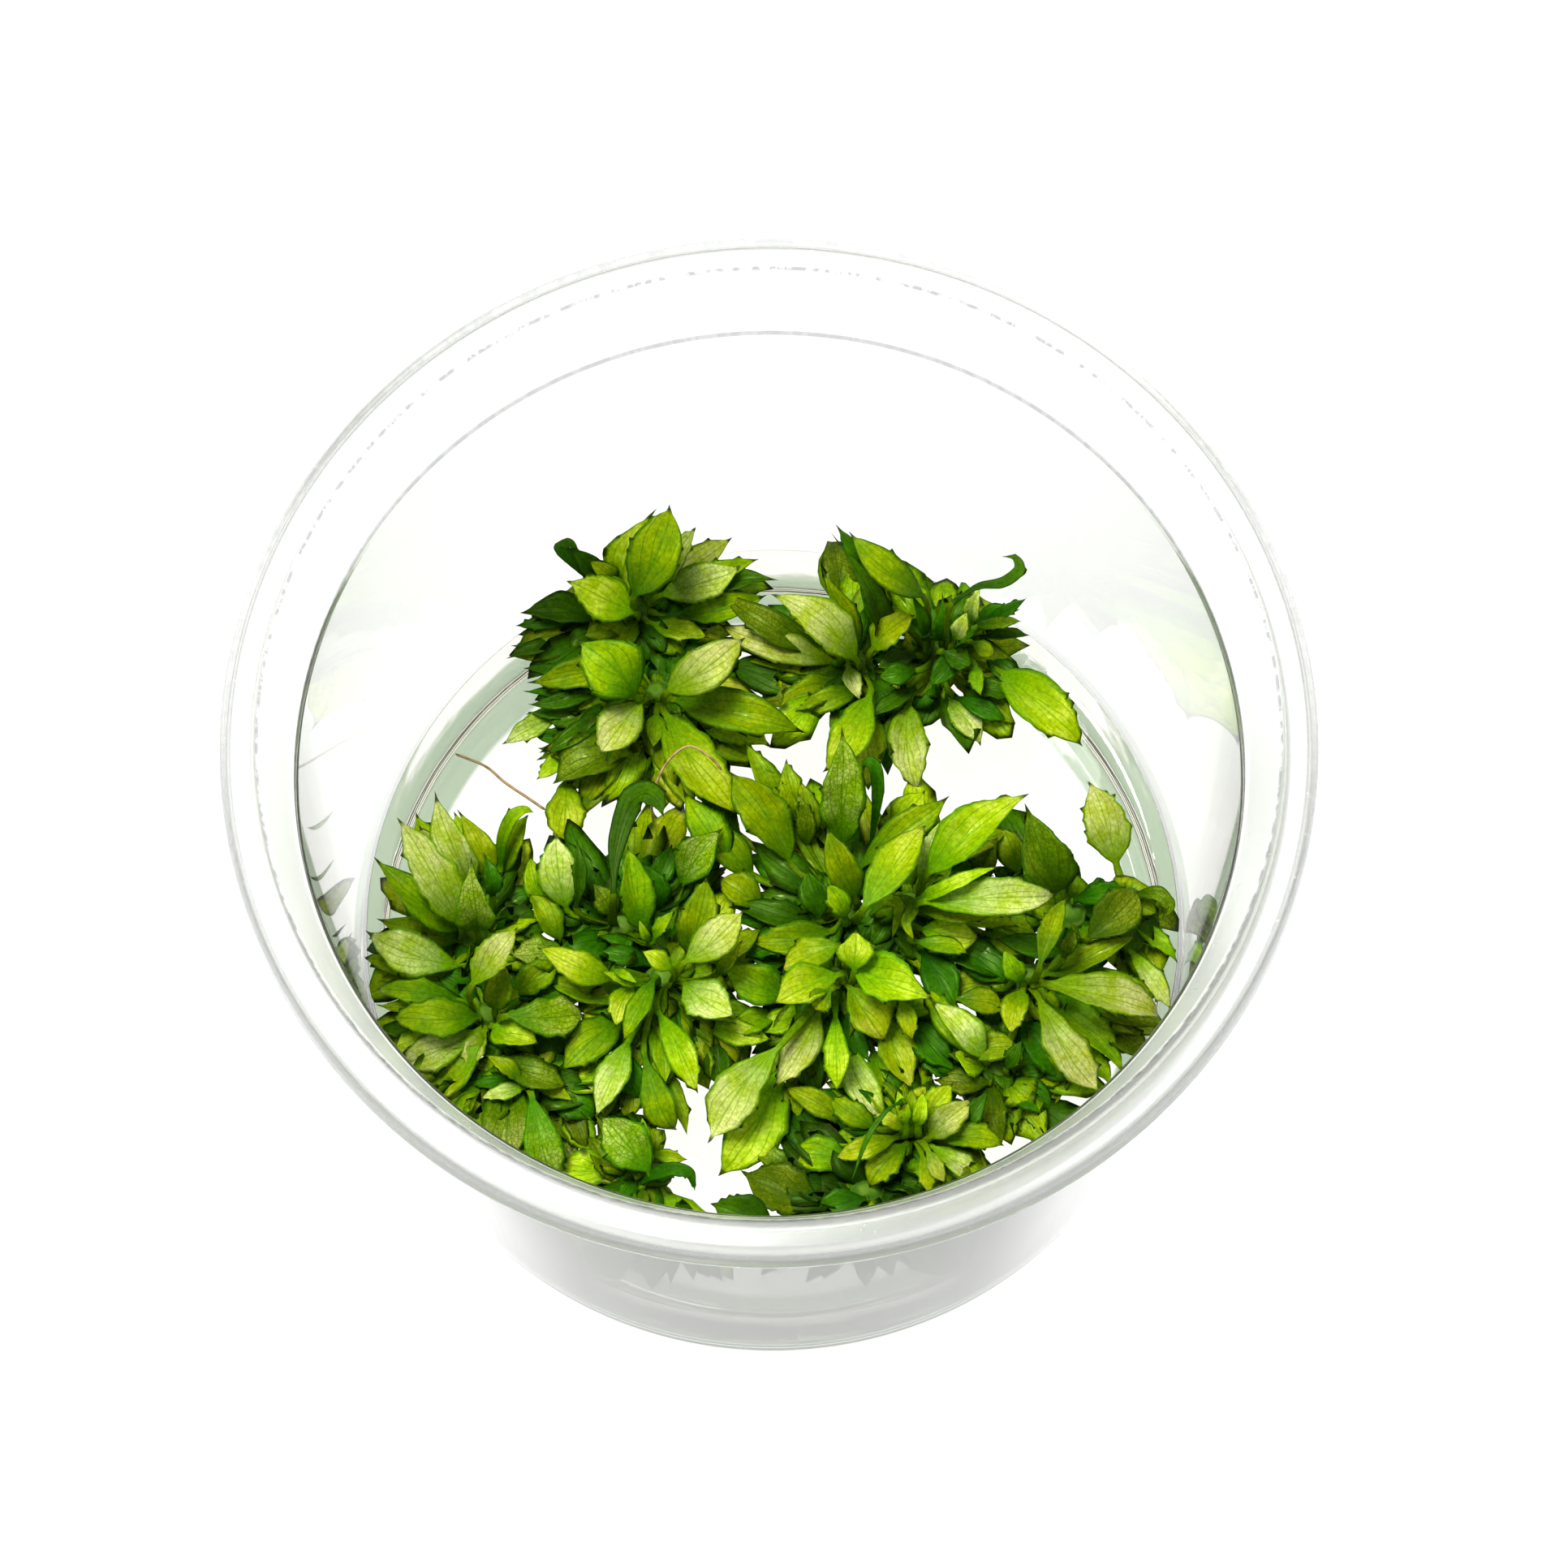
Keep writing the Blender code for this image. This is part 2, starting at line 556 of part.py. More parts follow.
def leaf_solid(row, start, stations, thickness, extra=0.0):
    """One leaf as a closed body, its middle surface thickened to both sides."""
    shape = leaf_surface(row, start, stations, extra)
    shape.normal_update()
    moves = [(vert, vert.normal * thickness / 2.0) for vert in shape.verts]
    for vert, move in moves:
        vert.co += move
    bmesh.ops.solidify(shape, geom=shape.faces[:], thickness=thickness)
    bmesh.ops.recalc_face_normals(shape, faces=shape.faces[:])
    if shape.calc_volume(signed=True) < 0.0:
        bmesh.ops.reverse_faces(shape, faces=shape.faces[:])
    return shape


def crown_solid(centre):
    shape = bmesh.new()
    bmesh.ops.create_uvsphere(shape, u_segments=CROWN_SIDES, v_segments=CROWN_RINGS, radius=1.0)
    for vert in shape.verts:
        vert.co = centre + Vector(size * MM * value for size, value in zip(CROWN_SIZE, vert.co))
    return shape


def lifts():
    """Heights, in millimetres, by which a leaf's base and tip may rise, the smallest rise first."""
    low_rises = [LIFT_STEP * count for count in range(LOW_STEPS + 1)]
    high_rises = [LIFT_STEP * count for count in range(-DROP_STEPS, HIGH_STEPS + 1)]
    pairs = [(low, high) for low in low_rises for high in high_rises]
    return sorted(pairs, key=lambda pair: (LOW_COST * pair[0] + abs(pair[1]) + (pair[1] < 0.0), pair))


def start_of(row, centre, own, rise):
    """Where the petiole starts: in the crown, or just above it for a leaf that is its own piece."""
    toward = placed(row[0], row[1], row[5]) * MM - centre
    toward.z = 0.0
    ahead = min(toward.length, PETIOLE_AHEAD if own else PETIOLE_INSIDE)
    toward.normalize()
    start = centre + toward * ahead
    if own:
        start.z += CROWN_SIZE[2] * MM + PETIOLE_ABOVE + rise * MM
    return start


def settled_leaf(leaf, crowns, standing):
    """A leaf's row and petiole start, raised in small steps until it clears everything that stands."""
    name, plantlet, own, row = leaf
    stations = OWN_STATIONS if own else JOINED_STATIONS
    others = [tree for owner, tree in standing if own or owner != plantlet]
    for low, high in lifts():
        moved = (*row[:5], row[5] + low, row[6] + high, row[7])
        start = start_of(moved, crowns[plantlet], own, low)
        thickness = LEAF_THICKNESS + 2.0 * LEAF_CLEARANCE
        grown = leaf_solid(moved, start, stations, thickness, 2.0 * LEAF_CLEARANCE)
        tree = BVHTree.FromBMesh(grown)
        grown.free()
        if not any(tree.overlap(other) for other in others):
            return moved, start, stations
    raise RuntimeError(f"no room for {name}")


def settle(leaves, crowns):
    """Place every leaf, first those joined to a crown and then the others, the lowest first."""
    standing = []
    for plantlet, centre in crowns.items():
        crown = crown_solid(centre)
        standing.append((plantlet, BVHTree.FromBMesh(crown)))
        crown.free()
    solids = []
    for leaf in sorted(leaves, key=lambda leaf: (leaf[2], leaf[3][5] + leaf[3][6], leaf[0])):
        name, plantlet, own, row = leaf
        moved, start, stations = settled_leaf(leaf, crowns, standing)
        solid = leaf_solid(moved, start, stations, LEAF_THICKNESS)
        standing.append((name if own else plantlet, BVHTree.FromBMesh(solid)))
        solids.append((name, plantlet, own, row[7], solid))
    return solids


def listed_leaves():
    """Every leaf as its name, its plantlet, whether it is a piece of its own, and its row."""
    leaves = []
    for plantlet, kit in PLANTLETS.items():
        for number, row in enumerate(kit["own"], 1):
            leaves.append((f"leaf_{plantlet}_{number}", plantlet, True, row))
        for number, row in enumerate(kit["joined"], 1):
            leaves.append((f"small_leaf_{plantlet}_{number}", plantlet, False, row))
    return leaves


def make_crowns(crowns, parts, cutters):
    """The rhizomes, each with a union of the small leaves that will grow from it."""
    shoot = material("shoot", (0.17, 0.32, 0.05), 0.45)
    groups = {}
    for plantlet, centre in crowns.items():
        groups[plantlet] = bpy.data.collections.new(f"small_leaves_{plantlet}")
        cutters.children.link(groups[plantlet])
        mesh = bpy.data.meshes.new(f"crown_{plantlet}")
        shape = crown_solid(centre)
        shape.to_mesh(mesh)
        shape.free()
        body = mesh_object(f"crown_{plantlet}", mesh, parts, shoot)
        union = body.modifiers.new("Grown together", "BOOLEAN")
        union.operation = "UNION"
        union.operand_type = "COLLECTION"
        union.collection = groups[plantlet]
        union.solver = "EXACT"
    return groups


def make_leaves(crowns, parts, groups):
    for name, plantlet, own, tone, solid in settle(listed_leaves(), crowns):
        mesh = bpy.data.meshes.new(name)
        solid.to_mesh(mesh)
        solid.free()
        color, roughness = TONES[tone]
        finish = material(f"leaf_{tone}", color, roughness)
        leaf = mesh_object(name, mesh, parts if own else groups[plantlet], finish)
        if not own:
            leaf.hide_render = True
            leaf.display_type = "WIRE"


clear_scene()
parts = new_collection("tissue_culture_anubias")
cutters = new_collection("small_leaves")
turned("cup", cup_profile(), parts, material("clear_plastic", (0.93, 0.95, 0.95), 0.08, alpha=0.15))
turned("gel", gel_profile(), parts, material("agar_gel", (0.93, 0.92, 0.78), 0.05, alpha=0.25, ior=1.33))
crowns = {name: placed(*kit["crown"], CROWN_HEIGHT) * MM for name, kit in PLANTLETS.items()}
make_leaves(crowns, parts, make_crowns(crowns, parts, cutters))
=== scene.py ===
import math
import random

import bmesh
import bpy
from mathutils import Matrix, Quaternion, Vector, noise


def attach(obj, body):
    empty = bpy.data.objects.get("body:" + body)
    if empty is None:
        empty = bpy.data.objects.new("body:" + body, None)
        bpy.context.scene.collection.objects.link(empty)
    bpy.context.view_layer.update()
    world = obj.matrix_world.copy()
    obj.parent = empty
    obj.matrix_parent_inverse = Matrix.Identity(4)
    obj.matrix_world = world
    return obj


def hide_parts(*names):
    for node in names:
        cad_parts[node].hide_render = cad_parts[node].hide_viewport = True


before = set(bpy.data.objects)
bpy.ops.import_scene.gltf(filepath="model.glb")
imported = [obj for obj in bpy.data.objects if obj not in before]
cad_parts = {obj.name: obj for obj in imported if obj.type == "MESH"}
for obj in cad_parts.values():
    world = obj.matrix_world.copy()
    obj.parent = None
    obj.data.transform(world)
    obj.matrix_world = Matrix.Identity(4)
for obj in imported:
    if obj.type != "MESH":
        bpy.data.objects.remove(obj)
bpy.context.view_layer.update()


# Cup: one thin-walled tub of clear polypropylene, moulded in one shot. Its wall leans outwards, steps out
# at a stacking shoulder and ends in a flange that turns out and down, where a lid would snap on. The
# moulded edges are soft, and the clear wall has fine scuffs from handling.
MM = 0.001
SHOULDER_HEIGHT = 56.5
CUP_CORNERS = [
    # radius, height and rounding in millimetres, up the inside and down the outside
    (0.0, 0.9, 0.0),
    (38.96, 0.9, 2.0),
    (43.30, SHOULDER_HEIGHT, 0.4),
    (43.75, 57.1, 0.4),
    (46.15, 64.3, 0.3),
    (46.50, 65.0, 0.2),
    (49.90, 64.8, 1.1),
    (50.00, 61.8, 0.25),
    (49.30, 61.8, 0.25),
    (49.00, 64.0, 0.6),
    (46.95, 63.9, 0.9),
    (44.35, 56.8, 0.4),
    (43.85, 56.1, 0.5),
    (39.60, 0.0, 1.4),
    (0.0, 0.0, 0.0),
]
CUP_STEPS, ROUNDING_STEPS = 192, 5
# Rings along the rim and the shoulder where grey lines of painted shade stand in for the darker edges of
# the curved plastic: radius, height, half width, how broken the line is, and how strong it is
SHADE_RINGS = [
    (50.2, 63.4, 1.5, 0.0, 0.7),
    (46.45, 64.8, 0.28, 0.9, 1.0),
    (43.55, 56.8, 0.34, 0.15, 1.0),
    (49.6, 61.8, 0.45, 0.3, 0.8),
]
BASE_CORNER = (35.7 * MM, 36.2 * MM)  # radii between which the flat base turns into its thicker corner
# The clear plastic, and the green-grey painted shade at the base's corner
CLEAR, CORNER_SHADE = (0.975, 0.975, 0.965, 1.0), (0.57, 0.68, 0.59, 1.0)
WALL_TINTS = (0.84, 0.852, 0.83, 1.0), (0.87, 0.882, 0.862, 1.0)
PLASTIC_IOR = 1.49


def wire(tree, kind, inputs=(), **settings):
    """Adds a shader node: its inputs, by name or number, are each a value or a socket to link."""
    made = tree.nodes.new(kind)
    for name, value in settings.items():
        setattr(made, name, value)
    for name, value in dict(inputs).items():
        if isinstance(value, bpy.types.NodeSocket):
            tree.links.new(value, made.inputs[name])
        else:
            made.inputs[name].default_value = value
    return made


def maths(tree, operation, *values):
    return wire(tree, "ShaderNodeMath", enumerate(values), operation=operation).outputs[0]


def times(tree, first, second):
    return maths(tree, "MULTIPLY", first, second)


def ramp(tree, value, low, high, start=0.0, end=1.0):
    """A smooth step: start where the value is low, and end where it is high."""
    inputs = {"Value": value, "From Min": low, "From Max": high, "To Min": start, "To Max": end}
    return wire(tree, "ShaderNodeMapRange", inputs, interpolation_type="SMOOTHSTEP").outputs[0]


def blend(tree, share, first, second, way="MIX"):
    inputs = {0: share, 6: first, 7: second}
    return wire(tree, "ShaderNodeMix", inputs, data_type="RGBA", blend_type=way).outputs[2]


def speckle(tree, place, scale, detail=3.0, roughness=0.5):
    inputs = {"Vector": place, "Scale": scale, "Detail": detail, "Roughness": roughness}
    return wire(tree, "ShaderNodeTexNoise", inputs).outputs["Fac"]


def radius_and_height(tree, place):
    """How far from the cup's axis a place is, and how high."""
    split = wire(tree, "ShaderNodeSeparateXYZ", {0: place}).outputs
    level = wire(tree, "ShaderNodeCombineXYZ", {0: split["X"], 1: split["Y"]}).outputs[0]
    radius = wire(tree, "ShaderNodeVectorMath", {0: level}, operation="LENGTH").outputs["Value"]
    return radius, split["Z"]


def new_finish(name):
    """A material without nodes, its tree, and where the surface is in the object."""
    made = bpy.data.materials.new(name)
    made.use_nodes = True
    tree = made.node_tree
    tree.nodes.clear()
    place = wire(tree, "ShaderNodeTexCoord").outputs["Object"]
    return made, tree, place


def shown(tree, surface, volume=None):
    """Adds the output node, with the surface and, inside the piece, the volume."""
    sockets = {"Surface": surface.outputs[0]}
    if volume:
        sockets["Volume"] = volume.outputs[0]
    wire(tree, "ShaderNodeOutputMaterial", sockets)


def placed_piece(name, shape, finishes, node):
    """Makes the mesh a piece of the model that rides with the cup and stands for its CAD node."""
    for face in shape.faces:
        face.smooth = True
    mesh = bpy.data.meshes.new(name)
    shape.to_mesh(mesh)
    shape.free()
    for finish in finishes:
        mesh.materials.append(finish)
    made = bpy.data.objects.new(name, mesh)
    bpy.context.scene.collection.objects.link(made)
    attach(made, "root")
    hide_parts(node)


def turned(corners):
    """A closed body of revolution, with each corner of its profile rounded before it is spun."""
    shape = bmesh.new()
    points = [shape.verts.new((radius * MM, 0.0, height * MM)) for radius, height, _ in corners]
    for first, second in zip(points, points[1:]):
        shape.edges.new((first, second))
    for point, (_, _, rounding) in zip(points, corners):
        if rounding:
            bmesh.ops.bevel(
                shape, geom=[point], offset=rounding * MM, offset_type="OFFSET", segments=ROUNDING_STEPS,
                profile=0.5, affect="VERTICES", material=-1,
            )
    bmesh.ops.spin(
        shape, geom=shape.verts[:] + shape.edges[:], cent=(0, 0, 0), axis=(0, 0, 1),
        dvec=(0, 0, 0), angle=math.tau, steps=CUP_STEPS, use_merge=True,
    )
    bmesh.ops.remove_doubles(shape, verts=shape.verts[:], dist=1e-7)
    bmesh.ops.recalc_face_normals(shape, faces=shape.faces[:])
    return shape


def clear_plastic(name, shade_line_tint):
    """Clear plastic, frosted above the shoulder, with grey lines of painted shade along the rings."""
    made, tree, place = new_finish(name)
    long_way = wire(tree, "ShaderNodeMapping", {"Vector": place, "Scale": (1.0, 1.0, 0.12)}).outputs[0]
    scuffs = speckle(tree, long_way, 900.0, 4.0, 0.65)
    radius, height = radius_and_height(tree, place)
    walls = blend(tree, speckle(tree, place, 60.0, 2.0), *WALL_TINTS)
    # Painted shade: the base turns green-grey at its corner
    base_with_corner_shade = blend(tree, ramp(tree, radius, *BASE_CORNER), CLEAR, CORNER_SHADE)
    color = blend(tree, ramp(tree, height, 1.5 * MM, 3.0 * MM, 1.0, 0.0), walls, base_with_corner_shade)
    # Painted shade: a grey line along each ring, broken where the scuffs are
    shade_lines = 0.0
    for ring_radius, ring_height, half_width, broken, strength in SHADE_RINGS:
        inwards = maths(tree, "SUBTRACT", radius, ring_radius * MM)
        upwards = maths(tree, "SUBTRACT", height, ring_height * MM)
        squares = [times(tree, off, off) for off in (inwards, upwards)]
        away = maths(tree, "SQRT", maths(tree, "ADD", *squares))
        line = ramp(tree, away, 0.5 * half_width * MM, half_width * MM, strength, 0.0)
        gaps = ramp(tree, scuffs, 0.40, 0.58, 1.0 - broken, 1.0)
        shade_lines = maths(tree, "MAXIMUM", shade_lines, times(tree, line, gaps))
    frosted = ramp(tree, height, SHOULDER_HEIGHT * MM, (SHOULDER_HEIGHT + 1.5) * MM, 0.0, 0.20)
    shown(tree, wire(tree, "ShaderNodeBsdfPrincipled", {
        "Base Color": blend(tree, shade_lines, color, shade_line_tint),
        "Roughness": maths(tree, "ADD", ramp(tree, scuffs, 0.62, 0.75, 0.015, 0.10), frosted),
        "IOR": PLASTIC_IOR,
        "Transmission Weight": 0.95,
    }))
    return made


cup_shape = turned(CUP_CORNERS)
# Faces along the rings take the second finish, whose painted shade lines are darker
for face in cup_shape.faces:
    middle = face.calc_center_median() / MM
    around = [math.dist((math.hypot(middle.x, middle.y), middle.z), ring[:2]) - ring[2] for ring in SHADE_RINGS]
    face.material_index = int(min(around) < 0.0)
cup_finishes = [
    clear_plastic("clear_plastic", (0.5, 0.5, 0.51, 1.0)),
    clear_plastic("plastic_dark_shade_lines", (0.26, 0.26, 0.27, 1.0)),
]
placed_piece("clear_cup", cup_shape, cup_finishes, "cup")


# Gel: agar poured warm, so it is level and climbs the wall in a low meniscus. It is clear with a faint cream
# tint, greyer at its bottom edge by painted shade, and it fills the cup up to the hair-thin gap that
# touching pieces keep.
GEL_TOP, GEL_FLOOR, MENISCUS, MENISCUS_WIDTH = 13.0, 1.0, 0.9, 3.0
GEL_CORNERS = [
    (0.0, GEL_TOP, 0.0),
    (36.5, GEL_TOP, 1.6),
    (38.6, GEL_TOP + 0.25, 0.7),
    (39.74, GEL_TOP + MENISCUS, 0.1),
    (38.90, GEL_FLOOR, 1.9),
    (0.0, GEL_FLOOR, 0.0),
]
# The gel's clear colour, and the greyer creams of painted shade at its bottom edge
GEL_CLEAR, GEL_EDGE_SHADES = (0.985, 0.985, 0.955, 1.0), ((0.66, 0.68, 0.50, 1.0), (0.60, 0.63, 0.51, 1.0))
GEL_IOR = 1.335


def agar():
    made, tree, place = new_finish("agar_gel")
    swell = speckle(tree, place, 160.0, 2.0)
    radius, height = radius_and_height(tree, place)
    low = ramp(tree, height, 2.0 * MM, 5.0 * MM, 1.0, 0.0)
    # Painted shade: the gel is a greyer cream at its bottom edge by the wall
    gel_edge_shade = times(tree, ramp(tree, radius, *BASE_CORNER), low)
    wet = wire(tree, "ShaderNodeBump", {"Strength": 0.25, "Distance": 0.0003, "Height": swell}).outputs[0]
    body = wire(tree, "ShaderNodeBsdfPrincipled", {
        "Base Color": blend(tree, gel_edge_shade, GEL_CLEAR, blend(tree, swell, *GEL_EDGE_SHADES)),
        "Roughness": ramp(tree, swell, 0.4, 0.7, 0.0, 0.04),
        "IOR": GEL_IOR,
        "Transmission Weight": 1.0,
        "Normal": wet,
    })
    tint = wire(tree, "ShaderNodeVolumeAbsorption", {"Color": (0.97, 0.96, 0.88, 1.0), "Density": 14.0})
    shown(tree, body, tint)
    return made


placed_piece("agar", turned(GEL_CORNERS), [agar()], "gel")


# Leaves: each plantlet is a rosette of narrow pointed blades on short petioles that leave a stubby
# rhizome. A blade is thin wet tissue, darker along its arched veins and at its hooked tip, with painted
# shade at its curled margin and at its throat.
# The large ones are pieces of their own. The smaller ones follow with the shoots.
SIGHT_HEIGHT, SIGHT_SLOPE = 22.0, 0.4
# Places of leaves and rhizomes were read in the sight plane: a level plane SIGHT_HEIGHT up, seen
# from above the front, in millimetres. A place at another height is shifted by SIGHT_SLOPE times the rise.
CROWN_HEIGHT = 15.3
CROWNS = {
    "back_left_upper": (-13, 30), "back_left_lower": (-10.8, 20.8), "back_middle": (9, 23.8),
    "back_right": (17, 24.5), "left": (-29.3, -4), "left_front": (-27.8, -12.6), "left_low": (-24, -19.3),
    "middle_left": (-14.8, -3.5), "middle": (-10.8, -9), "centre": (7.4, -2.6),
    "centre_right": (13.2, -1.8), "centre_front": (6.4, -9.4), "front": (13, -25), "front_low": (8.5, -31),
    "right": (24.6, -9.5), "right_back": (29, -3.2), "right_edge": (34.6, -1.6), "right_front": (21.5, -19),
    "front_left": (-12, -28.8),
}
# A row is the blade's base x, y, tip x, y and width, the heights of its base and tip, and its tone
OWN_LEAVES = {
    "back_left_upper": [
        (-12.8, 31.5, -8.6, 41, 5.4, 19, 33, "green"), (-13, 29.8, -19.4, 33.5, 4.8, 19, 25, "lime"),
    ],
    "back_left_lower": [
        (-13, 21, -18.4, 27, 6.4, 20, 27, "green"), (-9.6, 21.4, -2.3, 27, 4.6, 21, 27, "pale"),
        (-12.4, 20.3, -16.5, 14.8, 4.6, 19, 22, "pale"), (-10, 18.8, -3.5, 8, 5.2, 17.5, 19.5, "lime"),
    ],
    "back_middle": [
        (8.6, 24.4, 0.3, 31.8, 4.8, 18, 22, "pale"), (10.4, 25.4, 14.7, 29.2, 4, 21, 25, "lime"),
    ],
    "back_right": [(18, 30, 24.6, 34.6, 1.5, 23, 30, "dark"), (15.3, 30.8, 8, 37.2, 3.6, 20, 30, "green")],
    "left": [
        (-30.3, -3, -38.5, 4.5, 4.2, 18, 24, "green"), (-30.2, -2.2, -35.8, 9, 4.4, 19, 27, "pale"),
        (-28.6, -3, -29, 4.2, 4, 21, 28, "mottled"),
    ],
    "left_front": [
        (-28.6, -12.2, -37, -11.8, 4.2, 18, 19.5, "green"), (-28.8, -8.6, -24.4, -2.8, 3.4, 22, 26, "pale"),
        (-25.6, -12, -18.1, -11.9, 4.4, 17.5, 18.5, "mottled"),
    ],
    "left_low": [(-23.4, -20.2, -21.6, -29.4, 3.9, 16.5, 16.5, "mottled")],
    "middle_left": [
        (-15.6, 0.5, -12.8, 10.8, 3.6, 18, 31, "dark"), (-12.4, -3.6, -13.9, 5.6, 3.6, 20, 26, "green"),
    ],
    "middle": [
        (-8.6, -6.8, -2.7, -1.4, 4.2, 23, 26, "pale"), (-8.6, -9, -3.8, -12.6, 4.4, 21, 22.5, "pale"),
        (-15.6, -8.6, -22.8, -4.8, 3.6, 19, 21, "lime"),
    ],
    "centre": [
        (7, 5, 7.4, 16.6, 4.6, 19, 29, "mottled"), (1.8, 3.2, -3.8, 12.9, 4.6, 18, 22, "green"),
        (8.8, -1.4, 15, 7.2, 4.2, 21, 25.5, "lime"),
    ],
    "centre_right": [
        (15.2, 2, 24.8, 10.1, 4.8, 19, 27, "lime"), (14.6, -1, 27.8, -0.8, 4, 20.5, 23.5, "pale"),
    ],
    "centre_front": [
        (7.8, -7.2, 15.3, -10.8, 4.8, 22, 23, "lime"), (6.4, -8.4, 0, -11.4, 4.4, 21.5, 22.5, "lime"),
        (0.6, -15.4, -6.2, -25.2, 5, 18.5, 18, "pale"),
    ],
    "front_low": [(4.4, -32.8, -3.6, -28.8, 5.4, 16, 17.2, "olive")],
    "right": [
        (26.2, -9.6, 37.6, -13.4, 4.2, 20.5, 21, "pale"), (25.4, -11, 30.9, -21, 4.4, 19, 19, "pale"),
        (25.4, -7.8, 28, -0.6, 2.4, 21.5, 27, "green"),
    ],
    "right_back": [
        (27.6, -0.4, 24.9, 8.3, 5.2, 18.5, 25, "olive"), (30.4, -5.2, 35.4, -0.2, 4.6, 18.5, 22, "olive"),
    ],
    "right_edge": [(33.7, 2.2, 31.4, 11.3, 4.6, 17, 19, "pale")],
    "front_left": [(-12.2, -28.2, -16.6, -22.2, 4.9, 17.5, 19.5, "mottled")],
}
# Large leaves that are curled over, along a path of x, y that rises as the CAD leaf does
OWN_CURLED = {
    "leaf_back_right_1": [(18, 30), (20.5, 31.6), (23, 32), (24.6, 33.3), (24.3, 34.6), (23, 34.8)],
    "leaf_middle_left_1": [(-15.2, 0.5), (-14.9, 5), (-13.6, 9.4), (-12, 10.7), (-10.8, 9.9), (-10.2, 8.4)],
}
CURLED_SHARE = 0.8  # a curled leaf is narrower than its solid
# Tones of the blades: the flesh, its second colour, its margin and its veins, and how strongly a net of
# dark cells shows. The margin colour paints shade along the curled edge and at the throat.
TONES = {
    "pale": ((0.66, 0.68, 0.270), (0.46, 0.54, 0.085), (0.12, 0.28, 0.005), (0.16, 0.29, 0.009), 0.28),
    "lime": ((0.56, 0.63, 0.090), (0.34, 0.47, 0.016), (0.10, 0.28, 0.003), (0.13, 0.30, 0.003), 0.20),
    "green": ((0.32, 0.44, 0.012), (0.17, 0.31, 0.002), (0.045, 0.17, 0.001), (0.07, 0.21, 0.001), 0.22),
    # The dark tone is partly the leaves' own dark green and partly painted shade for leaves that lie in
    # shade
    "dark": ((0.055, 0.19, 0.001), (0.028, 0.12, 0.001), (0.013, 0.075, 0.0), (0.013, 0.07, 0.0), 0.15),
    "olive": ((0.20, 0.27, 0.030), (0.085, 0.16, 0.004), (0.03, 0.09, 0.001), (0.035, 0.08, 0.001), 0.55),
    "mottled": ((0.40, 0.47, 0.105), (0.22, 0.34, 0.017), (0.05, 0.18, 0.003), (0.045, 0.15, 0.003), 0.60),
    # A darker copy of the dark tone, all painted shade
    "shaded_deep": ((0.024, 0.085, 0.001), (0.012, 0.052, 0.001), (0.006, 0.034, 0.0), (0.006, 0.032, 0.0), 0.15),
}
TIP_COLOR, PETIOLE_COLOR = (0.022, 0.045, 0.003, 1.0), (0.13, 0.24, 0.012, 1.0)
THROUGH_TINT = (0.98, 1.18, 0.60, 1.0)  # light that comes through a blade is yellower
WET_TINT, LEAF_IOR = (0.70, 1.0, 0.30, 1.0), 1.32
# Stations along a blade, stations along its petiole, and faces across it, on its top and again underneath
OWN_FACES = (28, 7, 8)
PETIOLE_HALF, SHEATH_REACH = 0.40, 4.0
FULLNESS = 0.98  # a cupped blade looks narrower than it is
TIP_START, TIP_LENGTH, LEAST_WIDTH = 0.94, 0.06, 0.10  # shares of a blade's length and of its width
THICKNESS, RIB = 0.12, 0.10  # half of a blade's thickness, and how far its midrib stands out below
WALL_FOOT, WALL_LEAN = 38.9, 0.0755  # radius inside the wall at the table, and how it grows with height
WALL_MARGIN, GEL_MARGIN = 0.3, 0.12
# How far from a row's place a corner of the CAD leaf may be, and how far below and above its height
CORNER_OFF, BASE_SPAN, TIP_SPAN = 0.6, (1.0, 8.5), (2.0, 12.5)
LAYERS = ("along", "across", "seed", "spike")
UP = Vector((0.0, 0.0, 1.0))


def seen(x, y, height):
    """The point at a height, in metres, that shows at (x, y) in the sight plane."""
    return Vector((x, y - (height - SIGHT_HEIGHT) * SIGHT_SLOPE, height)) * MM


def carried_height(node, x, y, height, span):
    """Height at which the CAD node has a corner that shows at (x, y), or the height given."""
    nearest, found = CORNER_OFF, height
    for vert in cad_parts[node].data.vertices:
        up = vert.co.z / MM
        if height - span[0] <= up <= height + span[1]:
            off = math.hypot(vert.co.x / MM - x, vert.co.y / MM + (up - SIGHT_HEIGHT) * SIGHT_SLOPE - y)
            if off < nearest:
                nearest, found = off, up
    return found


def carried_row(node, row):
    """The row, with its heights taken from the CAD node."""
    low = carried_height(node, *row[:2], row[5], BASE_SPAN)
    high = carried_height(node, *row[2:4], row[6], TIP_SPAN)
    return (*row[:5], low, high, row[7])


def kept_inside(point):
    """A point moved in from the wall and up from the gel, as a leaf that presses on them bends."""
    radius = math.hypot(point.x, point.y) / MM
    reach = WALL_FOOT + WALL_LEAN * point.z / MM - WALL_MARGIN
    if radius > reach:
        point.x *= reach / radius
        point.y *= reach / radius
    lowest = GEL_TOP + GEL_MARGIN
    if radius > reach - MENISCUS_WIDTH:
        lowest += MENISCUS
    point.z = max(point.z, lowest * MM)
    return point


